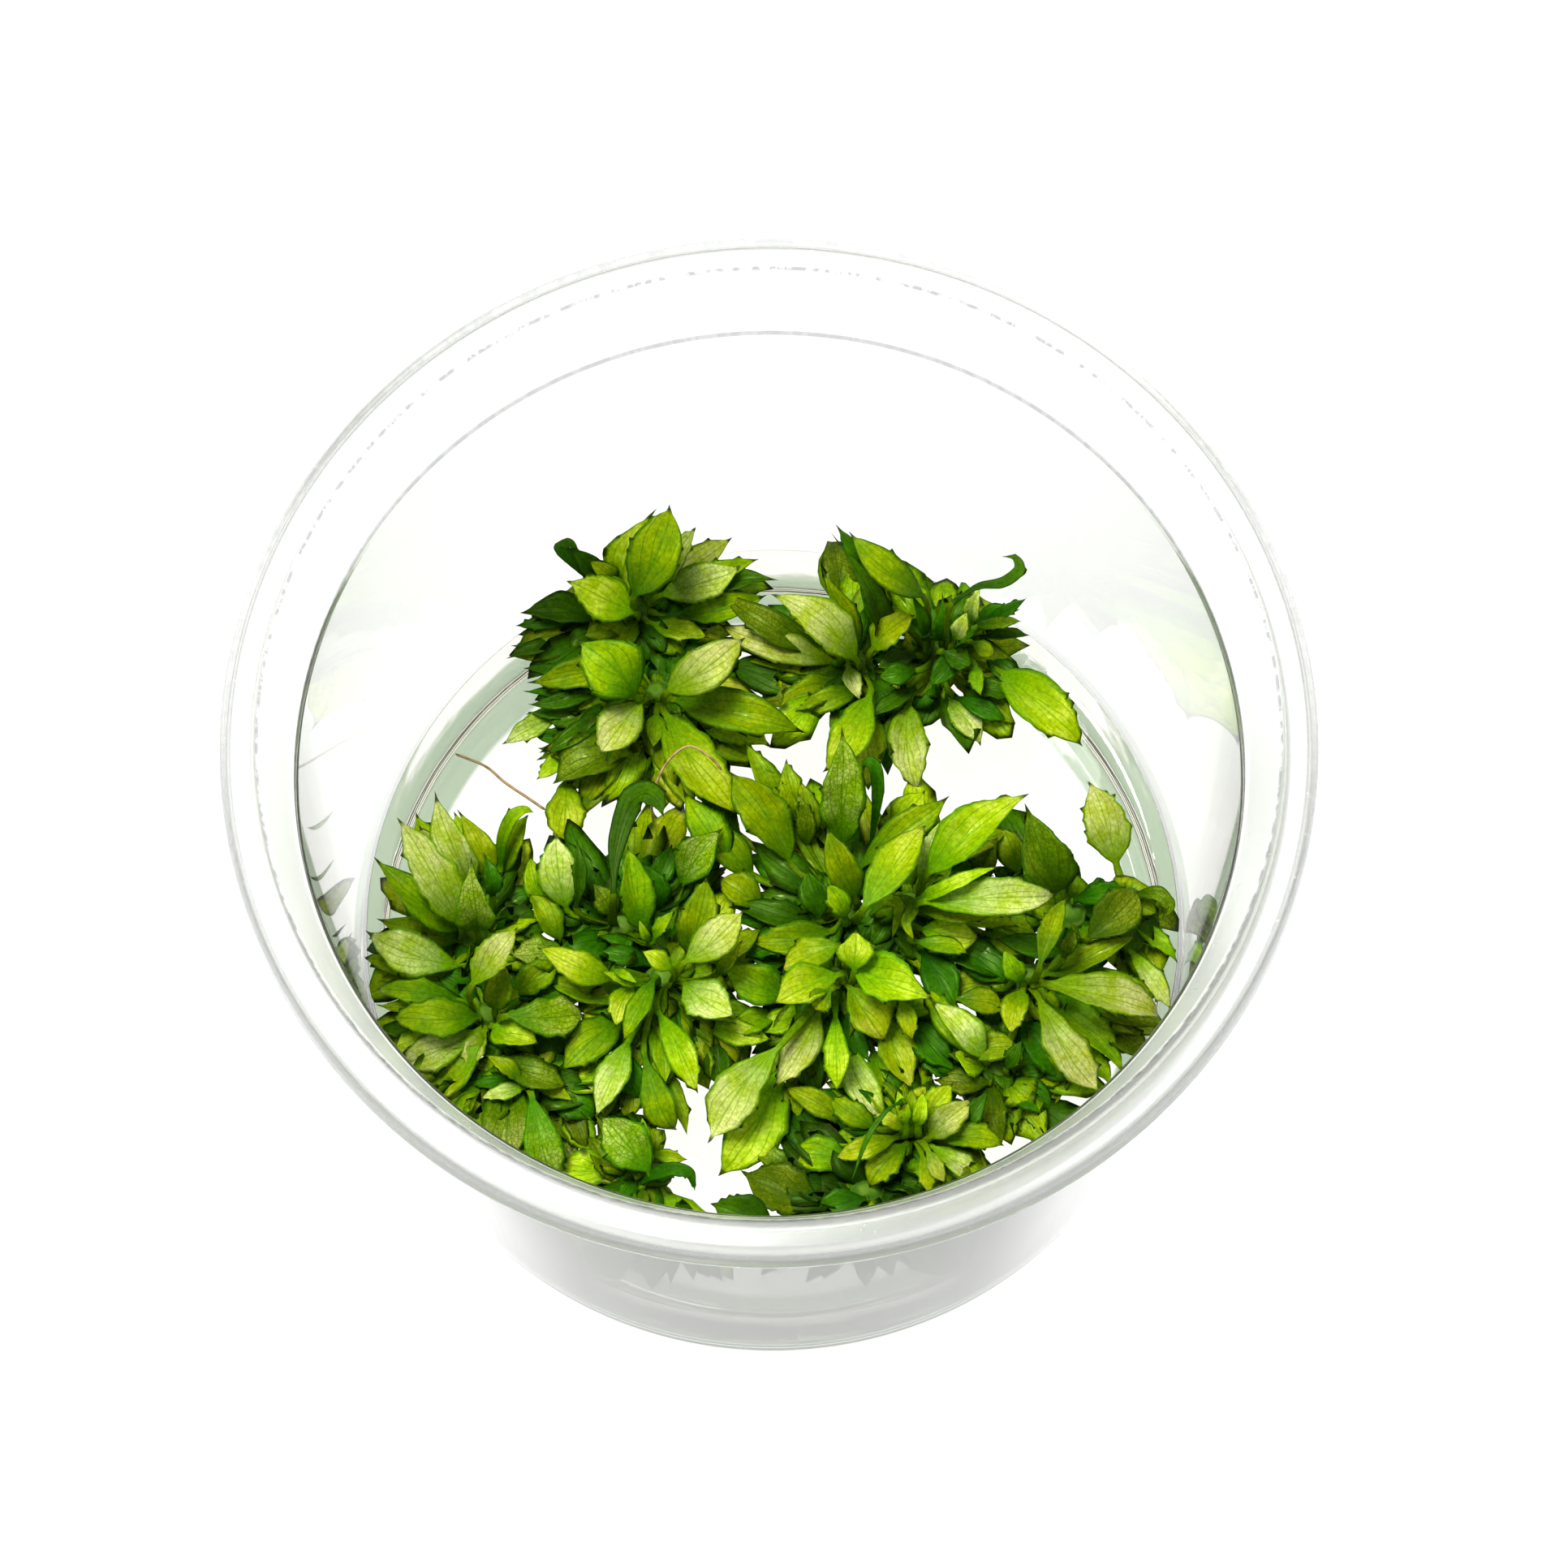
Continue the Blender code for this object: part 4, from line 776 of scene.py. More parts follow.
# Rows of small leaves without a solid
SMALL_LEAVES = {
    "back_left_upper": [
        (-9, 29.5, 0, 31.2, 3.4, 17, 18.5, "green"), (-19, 26.5, -25.4, 26.6, 1.7, 16, 17, "dark"),
        (-19, 29, -24.9, 28.6, 1.6, 17, 18, "dark"), (-15, 33, -17.4, 35.6, 2.2, 22, 25, "green"),
        (-9, 32, -0.6, 35.4, 2.4, 18, 21, "green"), (-18.5, 27, -25.8, 25.2, 1.8, 16, 17, "dark"),
        (-19.5, 26, -23.5, 24.6, 1.4, 15.5, 16, "dark"), (-9.5, 34, -6.4, 39.3, 3.4, 19, 27, "pale"),
        (-13.6, 30.6, -15.4, 34, 2, 20, 24, "green"),
    ],
    "back_left_lower": [
        (-17.5, 22.5, -24.2, 24.2, 1.8, 16, 17, "dark"), (-17, 20.5, -24.2, 21.6, 1.8, 16, 17, "dark"),
        (-18, 19, -24, 19.4, 1.8, 15.5, 16, "dark"), (-18, 17, -23.4, 17, 2, 15, 15.5, "dark"),
        (-16, 15, -22.8, 15.6, 2.6, 15, 15.5, "olive"), (-12, 14, -17.2, 10.8, 3.4, 15, 15.5, "olive"),
        (-9, 16, -12, 9.8, 3, 15, 15.5, "green"), (-11, 19, -11.3, 15.3, 2.2, 18.5, 19.5, "green"),
        (-20, 19.5, -26.3, 16, 2.4, 15, 15.5, "pale"), (-19, 15.5, -22.9, 12.2, 2, 15, 15.2, "lime"),
        (-3, 26, 4.6, 24.2, 2, 16.5, 17, "dark"), (-20, 12.5, -20.4, 5.2, 4, 15, 15.3, "lime"),
        (-16, 22, -23.5, 20, 1.8, 17.5, 18.5, "dark"), (-15.5, 20, -22, 15, 2.2, 17, 17.5, "dark"),
        (-15, 24, -20, 24.4, 2.4, 17.5, 19, "dark"),
    ],
    "back_middle": [
        (5, 25.5, -4.5, 31.5, 3.4, 17, 19.5, "olive"), (9, 21, 3, 19.2, 2.6, 17, 17, "green"),
        (7, 23, -2.6, 24.4, 3, 16, 16.5, "green"), (8, 27, 3, 30.8, 1.6, 20, 24, "green"),
        (8, 23.5, 9, 20, 2, 19, 19.5, "pale"),
    ],
    "back_right": [
        (19.5, 20.8, 24.2, 17, 2.8, 16.5, 17, "green"), (9.5, 33, 6.9, 38.4, 2, 26, 32, "dark"),
        (21, 26.5, 25.8, 26.6, 1.6, 20, 21, "dark"), (21.5, 28, 25.6, 30.4, 1.4, 22, 25, "dark"),
        (20.8, 27.6, 25, 28.2, 1.4, 22.5, 25, "olive"), (20.4, 23.5, 20.9, 20.2, 1.6, 20.5, 21, "green"),
        (12.5, 18.8, 12, 13.5, 2, 17.5, 17.5, "olive"), (14.5, 23, 10.8, 22.4, 2.4, 20, 20.5, "dark"),
        (15.5, 26.5, 14.2, 31, 1.6, 21, 28, "dark"), (18.5, 24.5, 16, 21.5, 2.4, 21, 20.5, "dark"),
        (17.2, 25, 20, 23.4, 2.6, 22, 22, "dark"), (20, 26, 22.4, 24.5, 1.8, 21, 20.5, "green"),
        (16, 27, 13.6, 28.4, 2.2, 22, 24, "dark"), (18.4, 26.4, 19.6, 29.4, 2, 23, 26, "pale"),
        (19.6, 21.6, 24.6, 20, 2.2, 18, 18, "dark"),
    ],
    "left": [
        (-31, 1, -34.7, 9.2, 3.4, 16.4, 19.5, "lime"), (-28.5, 1.5, -31, 9.4, 3, 16.4, 19, "lime"),
        (-27, 0.5, -27.6, 4.6, 2, 22, 25, "dark"), (-30, -1, -34.5, 8, 4, 16.5, 20, "pale"),
    ],
    "left_front": [
        (-25, -10, -20.6, -6.6, 3.2, 16.5, 18, "green"), (-24.5, -11, -19, -9.2, 3, 16, 17, "dark"),
        (-32.5, -13.5, -37, -14.6, 2.8, 14.4, 14.4, "dark"),
        (-30.8, -10.4, -38.6, -9.2, 2.8, 18, 18, "green"), (-31, -10.5, -38.5, -11, 2, 17.5, 17.5, "green"),
    ],
    "left_low": [
        (-20.6, -20.8, -18.4, -26.2, 2.2, 16.2, 16.2, "olive"),
        (-28, -19, -32.6, -21.8, 2.4, 16, 16, "green"),
        (-27.5, -21.5, -28.6, -26.6, 2.8, 15.8, 15.8, "green"),
        (-22.4, -23, -22.6, -30.6, 3, 15.6, 16.4, "green"),
        (-20.8, -21, -17.4, -27, 3.2, 15, 15.5, "green"), (-22, -22, -17.8, -23.4, 2.6, 15, 15, "olive"),
        (-27, -21.5, -31, -22.6, 3, 15.5, 17, "green"), (-24.5, -23, -24, -30.5, 3.2, 16, 18, "green"),
        (-24.5, -18.6, -27.8, -16, 1.8, 19, 20, "green"),
        (-24, -18.4, -19.4, -20.9, 1.8, 17.5, 17.5, "green"), (-25, -18.5, -29.8, -19, 1.5, 17, 17, "dark"),
        (-21, -24, -19.4, -27.2, 2.6, 15, 15, "mottled"),
    ],
    "middle_left": [
        (-18, -4.5, -21.6, -8.4, 3.2, 16, 16.5, "dark"), (-20.5, -4.5, -23.6, 0.6, 3, 17, 18.5, "green"),
        (-12, 0, -9.6, 5.4, 2.6, 17, 19, "dark"), (-12, -4.6, -12.9, -2.2, 1, 20, 22, "green"),
        (-11.5, -4.6, -9.3, -1.4, 1.4, 20, 22, "green"), (-19, -1, -18.8, 6, 1.4, 20, 24, "dark"),
    ],
    "middle": [
        (-16, -18.8, -15.8, -22.8, 3, 15.4, 15.4, "olive"),
        (-10.6, -13.2, -10.2, -19.8, 2.6, 17.4, 17, "green"),
        (-12.4, -9.2, -16.6, -7.4, 1.2, 20, 21, "green"), (-14, -10.5, -22.6, -8.4, 3.2, 16, 17, "green"),
        (-15.5, -16.5, -17.4, -24, 3.6, 15.5, 15.5, "olive"),
        (-13.5, -17, -14.6, -23.5, 2.6, 15.5, 15.5, "green"),
        (-8.5, -11, -0.4, -12.9, 2.8, 17, 17, "green"), (-7.5, -7, -0.8, -3.7, 3, 17, 18, "green"),
        (-8, -14, -6.6, -20.4, 2.8, 16, 15.5, "green"), (-9.8, -7.4, -12.6, -5.4, 2.2, 24, 25, "lime"),
        (-11.5, -8.5, -14.5, -15, 2.4, 20, 20.5, "green"), (-14.6, -16.6, -13.2, -21, 3.2, 17, 16, "dark"),
        (-11.4, -17, -8.6, -24.8, 1.8, 16, 15.3, "green"), (-5.6, -15.5, -5.3, -19.8, 2.8, 17, 16, "dark"),
        (-5.3, -8, -3, -4.5, 1.6, 22, 24, "green"), (-15.5, -7.5, -13, -9, 1, 21, 22, "green"),
    ],
    "centre": [
        (-4, 3, -8.6, 10.6, 4, 17, 20, "green"), (-2, 2, -7, 7.6, 3.6, 16.5, 18, "green"),
        (-3, 6, -7.4, 11.8, 3, 16, 17.5, "dark"), (4, -3, -4.2, -1, 3.2, 16.5, 17, "dark"),
        (1.5, 9, -2.4, 15.6, 3, 18, 21, "green"), (3.2, 8, 1.4, 14.2, 2.8, 18, 21, "green"),
        (5.5, -4.2, -2.4, -5, 3.4, 17, 17.5, "green"), (1.2, 8, -2, 13.8, 3, 18, 21, "green"),
        (2, 7, 1.4, 11.8, 2, 19, 23, "green"), (3.5, 5, 2.8, 10.5, 2, 18, 22, "olive"),
        (2.6, 0.6, -0.6, 3.4, 3, 16, 16.5, "dark"), (3.4, 2, 0.4, 0.2, 2.8, 16, 16, "dark"),
    ],
    "centre_right": [
        (20, -2.8, 25.8, -4.9, 2.8, 18, 18.5, "green"), (20.4, -4.6, 25.2, -6.6, 2.6, 17.6, 18, "green"),
        (18, -4.6, 22.8, -9.8, 4.4, 17, 17.5, "dark"), (14.4, -6.2, 17.6, -12.4, 3.8, 17.5, 17.8, "dark"),
        (24, 1.6, 22.6, 6.6, 3.2, 18, 20, "green"), (17, 1.5, 21.6, 1.2, 2.4, 17, 18, "dark"),
        (12.4, -4, 8.4, -6.4, 3.2, 16.5, 16.5, "dark"), (15, -2.5, 24.2, -3.6, 2.6, 17.5, 18.5, "green"),
        (16, 3, 23.4, 5.8, 3, 18, 20, "green"), (13.6, -5.2, 19, -6.4, 2.2, 20, 20, "green"),
        (20.4, 1.6, 22, 5.6, 3, 18, 21, "olive"),
    ],
    "centre_front": [
        (3.5, -4.2, -2.8, -6.8, 3.6, 16.4, 16.6, "dark"), (2.6, -14.4, 4.4, -20.8, 3.4, 16, 16, "dark"),
        (13.6, -13.4, 17.4, -18.8, 3.8, 16.6, 16.6, "dark"),
        (9.4, -16.4, 11.2, -21.6, 3.4, 16, 16.2, "green"), (2, -18.6, 2.2, -23.4, 2.6, 15.6, 15.8, "green"),
        (0.4, -12.6, -4.6, -14.6, 2.8, 16.4, 16.8, "green"), (12, -12.5, 17.6, -11, 3.2, 17, 17.5, "green"),
        (4, -12, -2.6, -14.2, 3, 16.5, 16.5, "green"), (7, -12.6, 9, -17.6, 2.2, 18, 17, "dark"),
        (5.5, -9.8, 3.8, -11.8, 2.6, 24, 23, "green"), (12.2, -11.2, 13.2, -15.4, 2, 20.5, 20, "lime"),
        (14, -15, 17, -20, 3, 17, 16, "dark"),
    ],
    "front": [
        (11.6, -25.2, 5.4, -27.2, 2.4, 17.6, 17.8, "lime"),
        (12.4, -23.8, 11.6, -19.9, 1.5, 20, 22.5, "lime"),
        (13.6, -23.8, 14.2, -20.2, 1.5, 20, 22.5, "lime"), (12.2, -24.2, 9.4, -22.6, 1.8, 19, 20, "lime"),
        (13.4, -27, 17.6, -31.4, 2.8, 15.5, 15.5, "dark"), (12, -27, 11.4, -32, 3, 15.5, 15.5, "dark"),
        (17.3, -24.6, 20.4, -20.4, 2, 18, 20, "dark"), (14.4, -26.4, 16, -29.8, 1.7, 19, 18.4, "pale"),
    ],
    "front_low": [
        (6, -32, 0.6, -35, 3.2, 15.5, 16.5, "dark"), (10, -32.5, 12.6, -36, 3.2, 16, 17.5, "dark"),
        (5, -33.5, 3.6, -38, 3, 16, 18, "dark"), (-0.6, -34.2, -6.4, -31.4, 4, 17.6, 18.2, "dark"),
        (1.6, -28.6, -2.2, -26.6, 2.6, 16, 16.2, "olive"), (8.5, -31.4, 3.4, -32.8, 3.4, 17, 17, "dark"),
    ],
    "right": [
        (23, -9, 16.2, -11.4, 3.8, 16.5, 16.5, "green"), (29, -11.5, 38.2, -14.8, 3.4, 16.5, 17, "olive"),
        (31, -12.5, 36.8, -18, 3, 16, 16, "olive"), (28, -14, 32.8, -20.4, 3.2, 16, 16, "green"),
        (25.5, -9.8, 29, -10, 1.2, 22, 22, "lime"), (30, -8.4, 37, -11.8, 2.8, 18, 18, "green"),
        (34.5, -6.5, 38.3, -13, 2.5, 17, 17, "pale"), (28, -7, 29, -4, 1.6, 22, 24, "olive"),
        (31, -14, 36, -17, 2.5, 15.5, 15.5, "olive"), (28, -7, 21.5, -5, 2.5, 18, 19, "dark"),
    ],
    "right_edge": [(35.3, -5.5, 38.8, -6.8, 1.5, 17, 17, "pale")],
    "right_front": [
        (18.4, -16.9, 23.8, -16.3, 3.3, 18.4, 18.8, "green"),
        (20.6, -20, 15.2, -19.6, 3, 16.6, 16.6, "olive"), (22, -18, 19.2, -13.4, 2.6, 16.8, 17.4, "olive"),
        (24.6, -13.6, 27.6, -20.2, 3, 16.4, 16.4, "olive"),
        (21.8, -20, 24.6, -24.6, 3.2, 15.8, 15.8, "olive"),
        (21.8, -20.5, 24.8, -26.4, 3, 15.5, 15.5, "green"),
        (20, -17.5, 14.6, -9.6, 2.8, 17.5, 18.5, "green"),
        (20.5, -20.5, 20.4, -26.6, 2.6, 15.5, 15.5, "green"),
        (23, -22, 26.3, -25.4, 2.6, 15.5, 15.5, "dark"), (28, -18.2, 26.2, -23.2, 2.6, 15.5, 15.5, "olive"),
        (17.6, -11.2, 22.3, -12.4, 3, 19, 18, "green"), (24, -14, 28.5, -20, 4, 16.5, 15.5, "dark"),
    ],
    "front_left": [
        (-14, -30, -15.4, -34.6, 2.8, 16, 17.5, "green"),
        (-14, -28, -18.6, -26.4, 2.6, 15.5, 16.5, "olive"),
        (-13.5, -28.5, -17.4, -22, 1.6, 18, 19, "olive"),
        (-12.2, -26.5, -12.8, -22.4, 1.2, 18.5, 20, "green"), (-13, -30, -12.6, -32, 1.2, 17, 17, "olive"),
    ],
}
# Leaves curled over along a path of x, y and height, with their width and tone
CURLED = {
    "back_left_upper": [
        ([(-17, 33, 22), (-19.2, 35.5, 26), (-20, 36.8, 27), (-19.2, 37.2, 27), (-18.2, 36.4, 26)],
         1.5, "dark"),
    ],
    "left": [
        ([(-26.3, 3.5, 19), (-26, 6, 22), (-25.1, 8.2, 24), (-23.9, 9.2, 24.5), (-22.9, 9, 24)],
         1.4, "green"),
    ],
    "centre": [
        ([(9.6, 4, 18), (10.3, 8.5, 22), (10.4, 12, 25), (9.7, 13.5, 26), (8.8, 12.8, 25)], 1.4, "dark"),
    ],
    "centre_right": [
        ([(12.4, -0.4, 20), (13.6, -1.6, 22), (12.9, -3.2, 22.5), (13.6, -5, 22)], 1.3, "green"),
        ([(9.7, -2.2, 20), (11, -0.9, 22.5), (12.2, -1.6, 22.5), (11.5, -5, 20.5)], 1.4, "green"),
    ],
    "right_edge": [
        ([(35, -1.2, 18), (36.4, -0.8, 20), (37.7, -1.1, 20.5), (38.4, -2.2, 20), (37.9, -3.3, 19)],
         1.6, "olive"),
    ],
    "front": [([(12, -21.3, 23), (10.4, -22.3, 23.5), (8.6, -25, 23), (7, -29.5, 21)], 0.6, "dark")],
    "front_left": [
        ([(-13, -29.4, 17), (-11.6, -28.4, 19), (-9.6, -27.9, 20), (-8.3, -28.5, 19.5), (-7.9, -30.2, 18)],
         1.5, "dark"),
    ],
}
# Roots along a path of x, y and height, with their thickness
ROOT_STEPS, ROOT_FACES = 6, 3  # stations for each point of its path, and faces across it
ROOTS = {
    "left": [([(-31, 15.2, 15), (-28, 13.8, 14.2), (-26, 12, 14.5), (-22, 9, 14.2)], 0.28)],
    "middle_left": [
        ([(-4.6, 13, 25.5), (-5.7, 14.4, 26.5), (-7.8, 15.6, 27), (-10, 13.8, 26), (-11.4, 10.4, 24),
          (-11.4, 7.6, 20)], 0.26),
        ([(-12, 9, 15), (-11, 7, 15.5), (-10, 5.5, 15), (-9.5, 3.8, 14.5)], 0.24),
    ],
}
# Young blades around each rhizome, below the others: how many, the least and most that their bases and
# tips are from it, and how far back their ring is shifted
YOUNG_LEAVES, YOUNG_BASE, YOUNG_TIP, YOUNG_BACK = 14, (1.0, 2.4), (3.6, 7.4), 1.5
# How far apart the lower leaves' tips are, how far out over the gel they are set, and the least and most
# that they are from their rhizome
UNDER_STEP, UNDER_FIELD, LEAST_REACH, UNDER_REACH = 1.8, 40, 4.5, 13.5
# Tones of the lower leaves, mostly dark: partly painted shade on leaves that lie under the others
UNDER_TONES = ["dark", "dark", "dark", "green", "green", "green", "olive", "lime"]
SHADED = {"front_low": "shaded_deep", "middle_left": "dark"}  # the tone of all lower leaves of shaded plantlets
# Bare places, where the gel or the wall shows between the plantlets: x, y and radius in the sight plane
BARE = [
    (-31, 15, 7.5), (-25, 9.5, 2.5), (-27, 21, 3.5), (-16.3, 7.3, 1.6), (-34, 6, 5), (-24.5, 3.6, 1.2),
    (3, 16, 4), (7, 23.3, 1), (8.5, 15.5, 1.6), (11, 11.5, 1.2), (21, 14, 6), (28, 10, 6), (35, 5, 6),
    (29, 17, 3), (-7.2, -21.5, 3.6), (-8, -26.5, 3.6), (-4.6, -30, 2.4), (-8.5, -30.5, 3.2),
    (-10.6, -24, 1.8), (-13, -22, 1), (3, -24.6, 1), (9.4, -24.6, 0.9), (16.2, 16, 1.6), (22.5, 20.5, 1.6),
    (30.5, 1.9, 2), (20.3, -12.4, 0.9), (23, -27, 4), (31, -22, 4), (0.5, 36, 4.5), (4, 33, 2.5),
    (20, 38, 5), (28, 31, 5), (29, 24, 3), (-28, 30, 5), (-24, 36, 4.5), (-19, 40, 4), (-3, 41, 4),
    (-24, -31, 5), (-38, 1, 4), (39, 3, 4.5), (31.5, 2.8, 2.2), (39, -8.6, 2.8), (-10, -31, 3.4),
    (23, 20.5, 1.4), (-17, 5.2, 1.6), (41, -0.8, 3.6), (16, 34, 2.2), (-11.3, 5, 1.3), (18, 7.8, 1.2),
    (24.4, 25.9, 1.3), (20.6, -24.4, 1), (-9.5, -25.4, 1.4), (19.3, -27.6, 1), (28.6, -22, 1.6),
    (-5.9, -29.6, 1.2), (-8.6, -22.6, 1.4),
]
# Gaps between the plantlets that are filled by a low leaf: x, y in the sight plane
FILLED = [
    (-9.2, 8), (23.1, 5.5), (16.2, -8.6), (14.1, 11.3), (-37.1, 1.2), (-17.4, 10.4), (-12.1, 8.2),
    (-1.6, -6.2), (-8.4, -18.5), (7.1, 36.1), (1.1, 16.4), (14.5, -13.7), (-0.8, 32.2), (4.6, -19),
    (2.9, 18.6), (-2.2, -2.7), (14, -30.5), (-17.6, -11.3), (22.2, -24.8), (-19.9, -28.1), (36, -14.9),
    (-4.6, 27.8), (25.1, -25.2), (11.5, 13.7), (1.9, -19.1), (30.6, -20.8), (-4.6, -0.9), (8.1, -31.9),
    (2.5, -33.6), (0.7, 20.3), (-23.2, -2.8), (-23.8, -6.6), (-19.2, -10.4), (-17.4, -12), (-13, -16.6),
    (-15.4, -15.2), (-18.6, -22.2), (23.3, 7.6), (-17.6, 9.6), (-9.1, 10.2), (-8.9, 26.3), (4.3, 10.4),
    (-19.8, 32.5), (-2.7, -6.6), (7, 36.9), (23, 17), (19, 15.6), (17.9, 31.4), (9.5, 12.1), (34.9, -0.6),
]
# Where a filling leaf starts on the way from its rhizome, how far past the gap it ends, and its width and
# heights
FILL_START, FILL_PAST, FILL_SIZE = 0.4, 1.6, (4.0, 15.5, 16.0)


def is_bare(*places):
    return any(math.dist(bare[:2], place) < bare[2] for bare in BARE for place in places)


def nearest_crown(x, y):
    """The plantlet whose rhizome is nearest, where that is, and how far."""
    name = min(CROWNS, key=lambda plantlet: math.dist(CROWNS[plantlet], (x, y)))
    return name, *CROWNS[name], math.dist(CROWNS[name], (x, y))


def lower_leaves():
    """Rows of the leaves under the others, by plantlet: each reaches towards the nearest free place."""
    draw = random.Random("lower leaves")
    rows = {plantlet: [] for plantlet in CROWNS}
    across = int(UNDER_FIELD / UNDER_STEP)
    for column in range(-across, across + 1):
        for line in range(-across, across + 1):
            x = (column + draw.uniform(-0.5, 0.5)) * UNDER_STEP
            y = (line + draw.uniform(-0.5, 0.5)) * UNDER_STEP
            tone = draw.choice(UNDER_TONES)
            size = (draw.uniform(3.2, 4.8), draw.uniform(14.2, 15.8), draw.uniform(14.2, 17.0))
            start = draw.uniform(0.1, 0.35)
            nearest, crown_x, crown_y, reach = nearest_crown(x, y)
            base_x, base_y = crown_x + (x - crown_x) * start, crown_y + (y - crown_y) * start
            middle = ((x + base_x) / 2.0, (y + base_y) / 2.0)
            if LEAST_REACH < reach < UNDER_REACH and not is_bare((x, y), middle):
                rows[nearest].append((base_x, base_y, x, y, *size, SHADED.get(nearest, tone)))
    for x, y in FILLED:
        nearest, crown_x, crown_y, reach = nearest_crown(x, y)
        far = 1.0 + FILL_PAST / reach
        rows[nearest].append((
            crown_x + (x - crown_x) * FILL_START, crown_y + (y - crown_y) * FILL_START,
            crown_x + (x - crown_x) * far, crown_y + (y - crown_y) * far,
            *FILL_SIZE, draw.choice(UNDER_TONES),
        ))
    return rows


def young_leaves(plantlet):
    """Rows of the young leaves all round a rhizome, apart from those over a bare place."""
    draw = random.Random(plantlet)
    x, y = CROWNS[plantlet]
    rows = []
    for number in range(YOUNG_LEAVES):
        angle = (number + draw.random()) / YOUNG_LEAVES * math.tau
        start, reach = draw.uniform(*YOUNG_BASE), draw.uniform(*YOUNG_TIP)
        low, high = draw.uniform(14.3, 15.8), draw.uniform(14.8, 17.2)
        base = (x + math.cos(angle) * start, y + math.sin(angle) * start + YOUNG_BACK)
        tip = (x + math.cos(angle) * reach, y + math.sin(angle) * reach + YOUNG_BACK)
        # Young leaves take the dark tone, painted shade where they lie under the others
        row = (*base, *tip, draw.uniform(1.8, 3.0), low, high, SHADED.get(plantlet, "dark"))
        if not is_bare(tip):
            rows.append(row)
    return rows


def add_leaves(shape, crown, label, rows, first, faces):
    """Adds a straight leaf for each row. The label and its number give a leaf its whims."""
    for number, row in enumerate(rows, first):
        whims = Whims(f"{label} {number}")
        stations = straight_stations(row, crown, whims, faces)
        add_tube(shape, stations, faces[2], whims, shoot_tones.index(row[7]))


def root_stations(points, thickness):
    """Stations of a fine round root along a curve, closed at both ends."""
    count = ROOT_STEPS * len(points)
    stations = []
    for step in range(count + 1):
        share = step / count
        along = curve_run(points, share)
        side = along.cross(UP).normalized()
        half = 0.0 if step in (0, count) else thickness / 2.0 * MM
        upward = side.cross(along).normalized()
        stations.append((curve_point(points, share), side, upward, half, half, 0.0, share))
    return stations


def add_rhizome(shape, crown):
    """Adds a lumpy ball, the only faces in the shape so far."""
    around, up = CROWN_FACES
    ball = bmesh.ops.create_uvsphere(shape, u_segments=around, v_segments=up, radius=1.0)
    for vert in ball["verts"]:
        swell = 1.0 + CROWN_LUMPS * noise.noise(vert.co * 2.0 + crown * 400.0)
        vert.co = crown + Vector(size * MM * value * swell for size, value in zip(CROWN_SIZE, vert.co))
    for face in shape.faces:
        face.material_index = len(TONES)


def rhizome_finish():
    """A young rhizome is green and ringed by the scars of old leaves."""
    made, tree, place = new_finish("rhizome")
    rings = wire(tree, "ShaderNodeTexWave", {
        "Vector": place, "Scale": 420.0, "Distortion": 6.0, "Detail": 2.0,
    }, bands_direction="Z").outputs["Fac"]
    grain = speckle(tree, place, 1500.0)
    relief = wire(tree, "ShaderNodeBump", {"Strength": 0.5, "Distance": 0.0002, "Height": rings}).outputs[0]
    shown(tree, wire(tree, "ShaderNodeBsdfPrincipled", {
        "Base Color": blend(tree, rings, (0.02, 0.07, 0.002, 1.0), (0.06, 0.13, 0.006, 1.0)),
        "Roughness": ramp(tree, grain, 0.3, 0.7, 0.5, 0.75),
        "IOR": LEAF_IOR,
        "Specular Tint": WET_TINT,
        "Normal": relief,
    }))
    return made


def root_finish():
    """Roots in the air above the gel are brown, and paler where they are young."""
    made, tree, place = new_finish("root")
    grain = speckle(tree, place, 1200.0)
    young = ramp(tree, grain, 0.35, 0.65)
    relief = wire(tree, "ShaderNodeBump", {"Strength": 0.4, "Distance": 0.0001, "Height": grain}).outputs[0]
    shown(tree, wire(tree, "ShaderNodeBsdfPrincipled", {
        "Base Color": blend(tree, young, (0.16, 0.085, 0.025, 1.0), (0.33, 0.22, 0.08, 1.0)),
        "Roughness": ramp(tree, grain, 0.3, 0.7, 0.4, 0.65),
        "Normal": relief,
    }))
    return made


lower = lower_leaves()
shoot_tones = list(TONES)
shoot_finishes = [*finishes.values(), rhizome_finish(), root_finish()]
for plantlet, place in CROWNS.items():
    crown = seen(*place, CROWN_HEIGHT)
    crown_node = "crown_" + plantlet
    shoot = new_shape()
    add_rhizome(shoot, crown)
    joined = [carried_row(crown_node, row) for row in JOINED_LEAVES[plantlet]]
    add_leaves(shoot, crown, plantlet + " small", joined + SMALL_LEAVES.get(plantlet, []), 1, NEAR_FACES)
    for path, width, tone in CURLED.get(plantlet, []):
        whims = Whims(f"{plantlet} curled")
        stations = curled_stations([seen(*point) for point in path], width, crown, whims, OWN_FACES)
        add_tube(shoot, stations, NEAR_FACES[2], whims, shoot_tones.index(tone))
    add_leaves(shoot, crown, plantlet + " lower", lower[plantlet] + young_leaves(plantlet), 0, LOW_FACES)
    for path, thickness in ROOTS.get(plantlet, []):
        whims = Whims(f"{plantlet} root")
        whims.wave = 0.0
        stations = root_stations([seen(*point) for point in path], thickness)
        add_tube(shoot, stations, ROOT_FACES, whims, len(TONES) + 1)
    placed_piece("shoot_" + plantlet, shoot, shoot_finishes, crown_node)


# Studio: a pale floor that runs out of sight, with a painted shadow in front of the cup, soft even light
# from all round with a broad lamp above, and the camera at the photograph's height and angle.
FLOOR_RADIUS, FLOOR_BELOW, FLOOR_GLOW = 3.0, 0.0001, 1.25
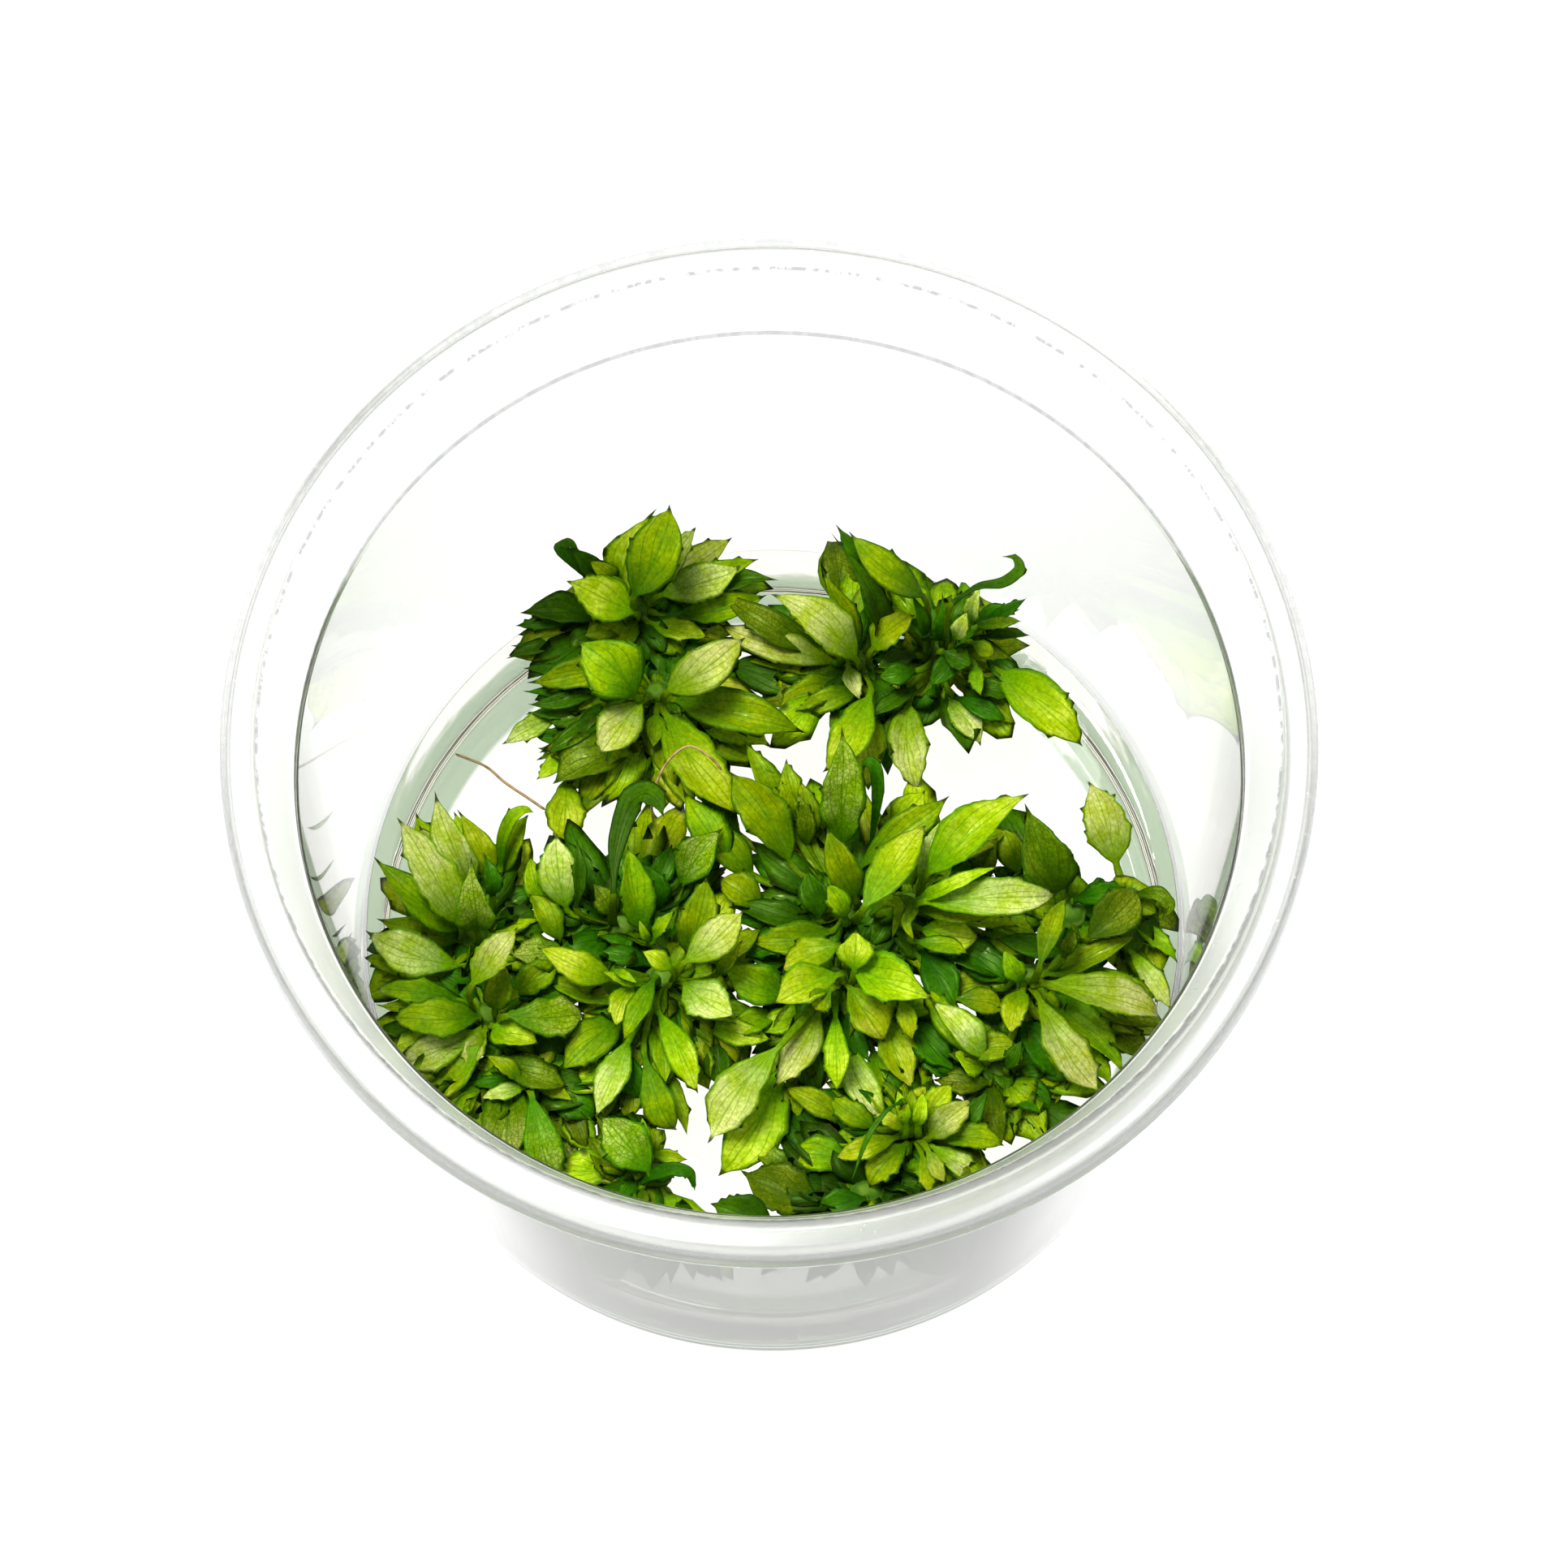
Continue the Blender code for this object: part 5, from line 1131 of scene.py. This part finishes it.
# Painted shadow of the cup: the floor glows less in front of the cup, from one y to the other
FLOOR_SHADOW = (-36.0 * MM, -26.0 * MM)


def pale_floor():
    made, tree, place = new_finish("pale_floor")
    mottle = speckle(tree, place, 20.0)
    # Painted shadow: the glow is dimmer in front of the cup
    back = ramp(tree, wire(tree, "ShaderNodeSeparateXYZ", {0: place}).outputs["Y"], *FLOOR_SHADOW)
    shown(tree, wire(tree, "ShaderNodeBsdfPrincipled", {
        "Base Color": blend(tree, mottle, (0.13, 0.13, 0.13, 1.0), (0.15, 0.15, 0.15, 1.0)),
        "Roughness": ramp(tree, mottle, 0.3, 0.7, 0.8, 0.9),
        "Specular IOR Level": 0.0,
        "Emission Color": blend(tree, back, (0.76, 0.765, 0.75, 1.0), (1.0, 1.0, 1.0, 1.0)),
        "Emission Strength": FLOOR_GLOW,
    }))
    return made


floor_shape = bmesh.new()
bmesh.ops.create_circle(floor_shape, cap_ends=True, segments=96, radius=FLOOR_RADIUS)
bmesh.ops.translate(floor_shape, vec=(0.0, 0.0, -FLOOR_BELOW), verts=floor_shape.verts[:])
floor_mesh = bpy.data.meshes.new("floor")
floor_shape.to_mesh(floor_mesh)
floor_shape.free()
floor_mesh.materials.append(pale_floor())
floor = bpy.data.objects.new("floor", floor_mesh)
bpy.context.scene.collection.objects.link(floor)

world = bpy.data.worlds.new("studio")
world.use_nodes = True
sky = world.node_tree
sky.nodes.clear()
direction = wire(sky, "ShaderNodeTexCoord").outputs["Generated"]
upwards = wire(sky, "ShaderNodeSeparateXYZ", {0: direction}).outputs["Z"]
glow = ramp(sky, upwards, 0.0, 0.7, 0.30, 0.85)
background = wire(sky, "ShaderNodeBackground", {"Color": (1.0, 1.0, 0.92, 1.0), "Strength": glow})
wire(sky, "ShaderNodeOutputWorld", {"Surface": background.outputs[0]})
bpy.context.scene.world = world

LAMPS = [
    # name, place, size in metres, power
    ("broad_lamp", (-0.30, 0.15, 1.3), 0.5, 34.0),
    ("back_lamp", (0.4, 1.1, 0.9), 0.5, 6.0),
]
for name, place, size, power in LAMPS:
    light = bpy.data.lights.new(name, "AREA")
    light.shape = "DISK"
    light.size = size
    light.energy = power
    lamp = bpy.data.objects.new(name, light)
    lamp.location = place
    lamp.rotation_mode = "QUATERNION"
    lamp.rotation_quaternion = Vector(place).to_track_quat("Z", "Y")
    bpy.context.scene.collection.objects.link(lamp)

# The camera was fitted to the outlines of the rim and the base: its height above the floor, its distance
# from the middle of the rim in millimetres, its roll, and the photograph's scale there and its centre
SIGHT_ELEVATION, SIGHT_DISTANCE, SIGHT_ROLL = math.radians(68.3), 600.0, math.radians(-1.1)
PHOTO_SIDE, PIXELS_TO_MM, SENSOR = 1932, 13.594, 36.0
RIM_MIDDLE = Vector((0.0, 0.0, 0.065))
back = Vector((0.0, -math.cos(SIGHT_ELEVATION), math.sin(SIGHT_ELEVATION)))
camera_data = bpy.data.cameras.new("camera")
camera_data.sensor_width = SENSOR
camera_data.lens = SENSOR * PIXELS_TO_MM * SIGHT_DISTANCE / PHOTO_SIDE
camera_data.shift_x = 18.9 / PHOTO_SIDE
camera_data.shift_y = -66.6 / PHOTO_SIDE
camera_data.clip_start = 0.01
camera = bpy.data.objects.new("camera", camera_data)
camera.location = RIM_MIDDLE + back * SIGHT_DISTANCE * MM
camera.rotation_mode = "QUATERNION"
camera.rotation_quaternion = Quaternion(back, SIGHT_ROLL) @ back.to_track_quat("Z", "Y")
bpy.context.scene.collection.objects.link(camera)
bpy.context.scene.camera = camera
bpy.context.scene.view_settings.view_transform = "Standard"
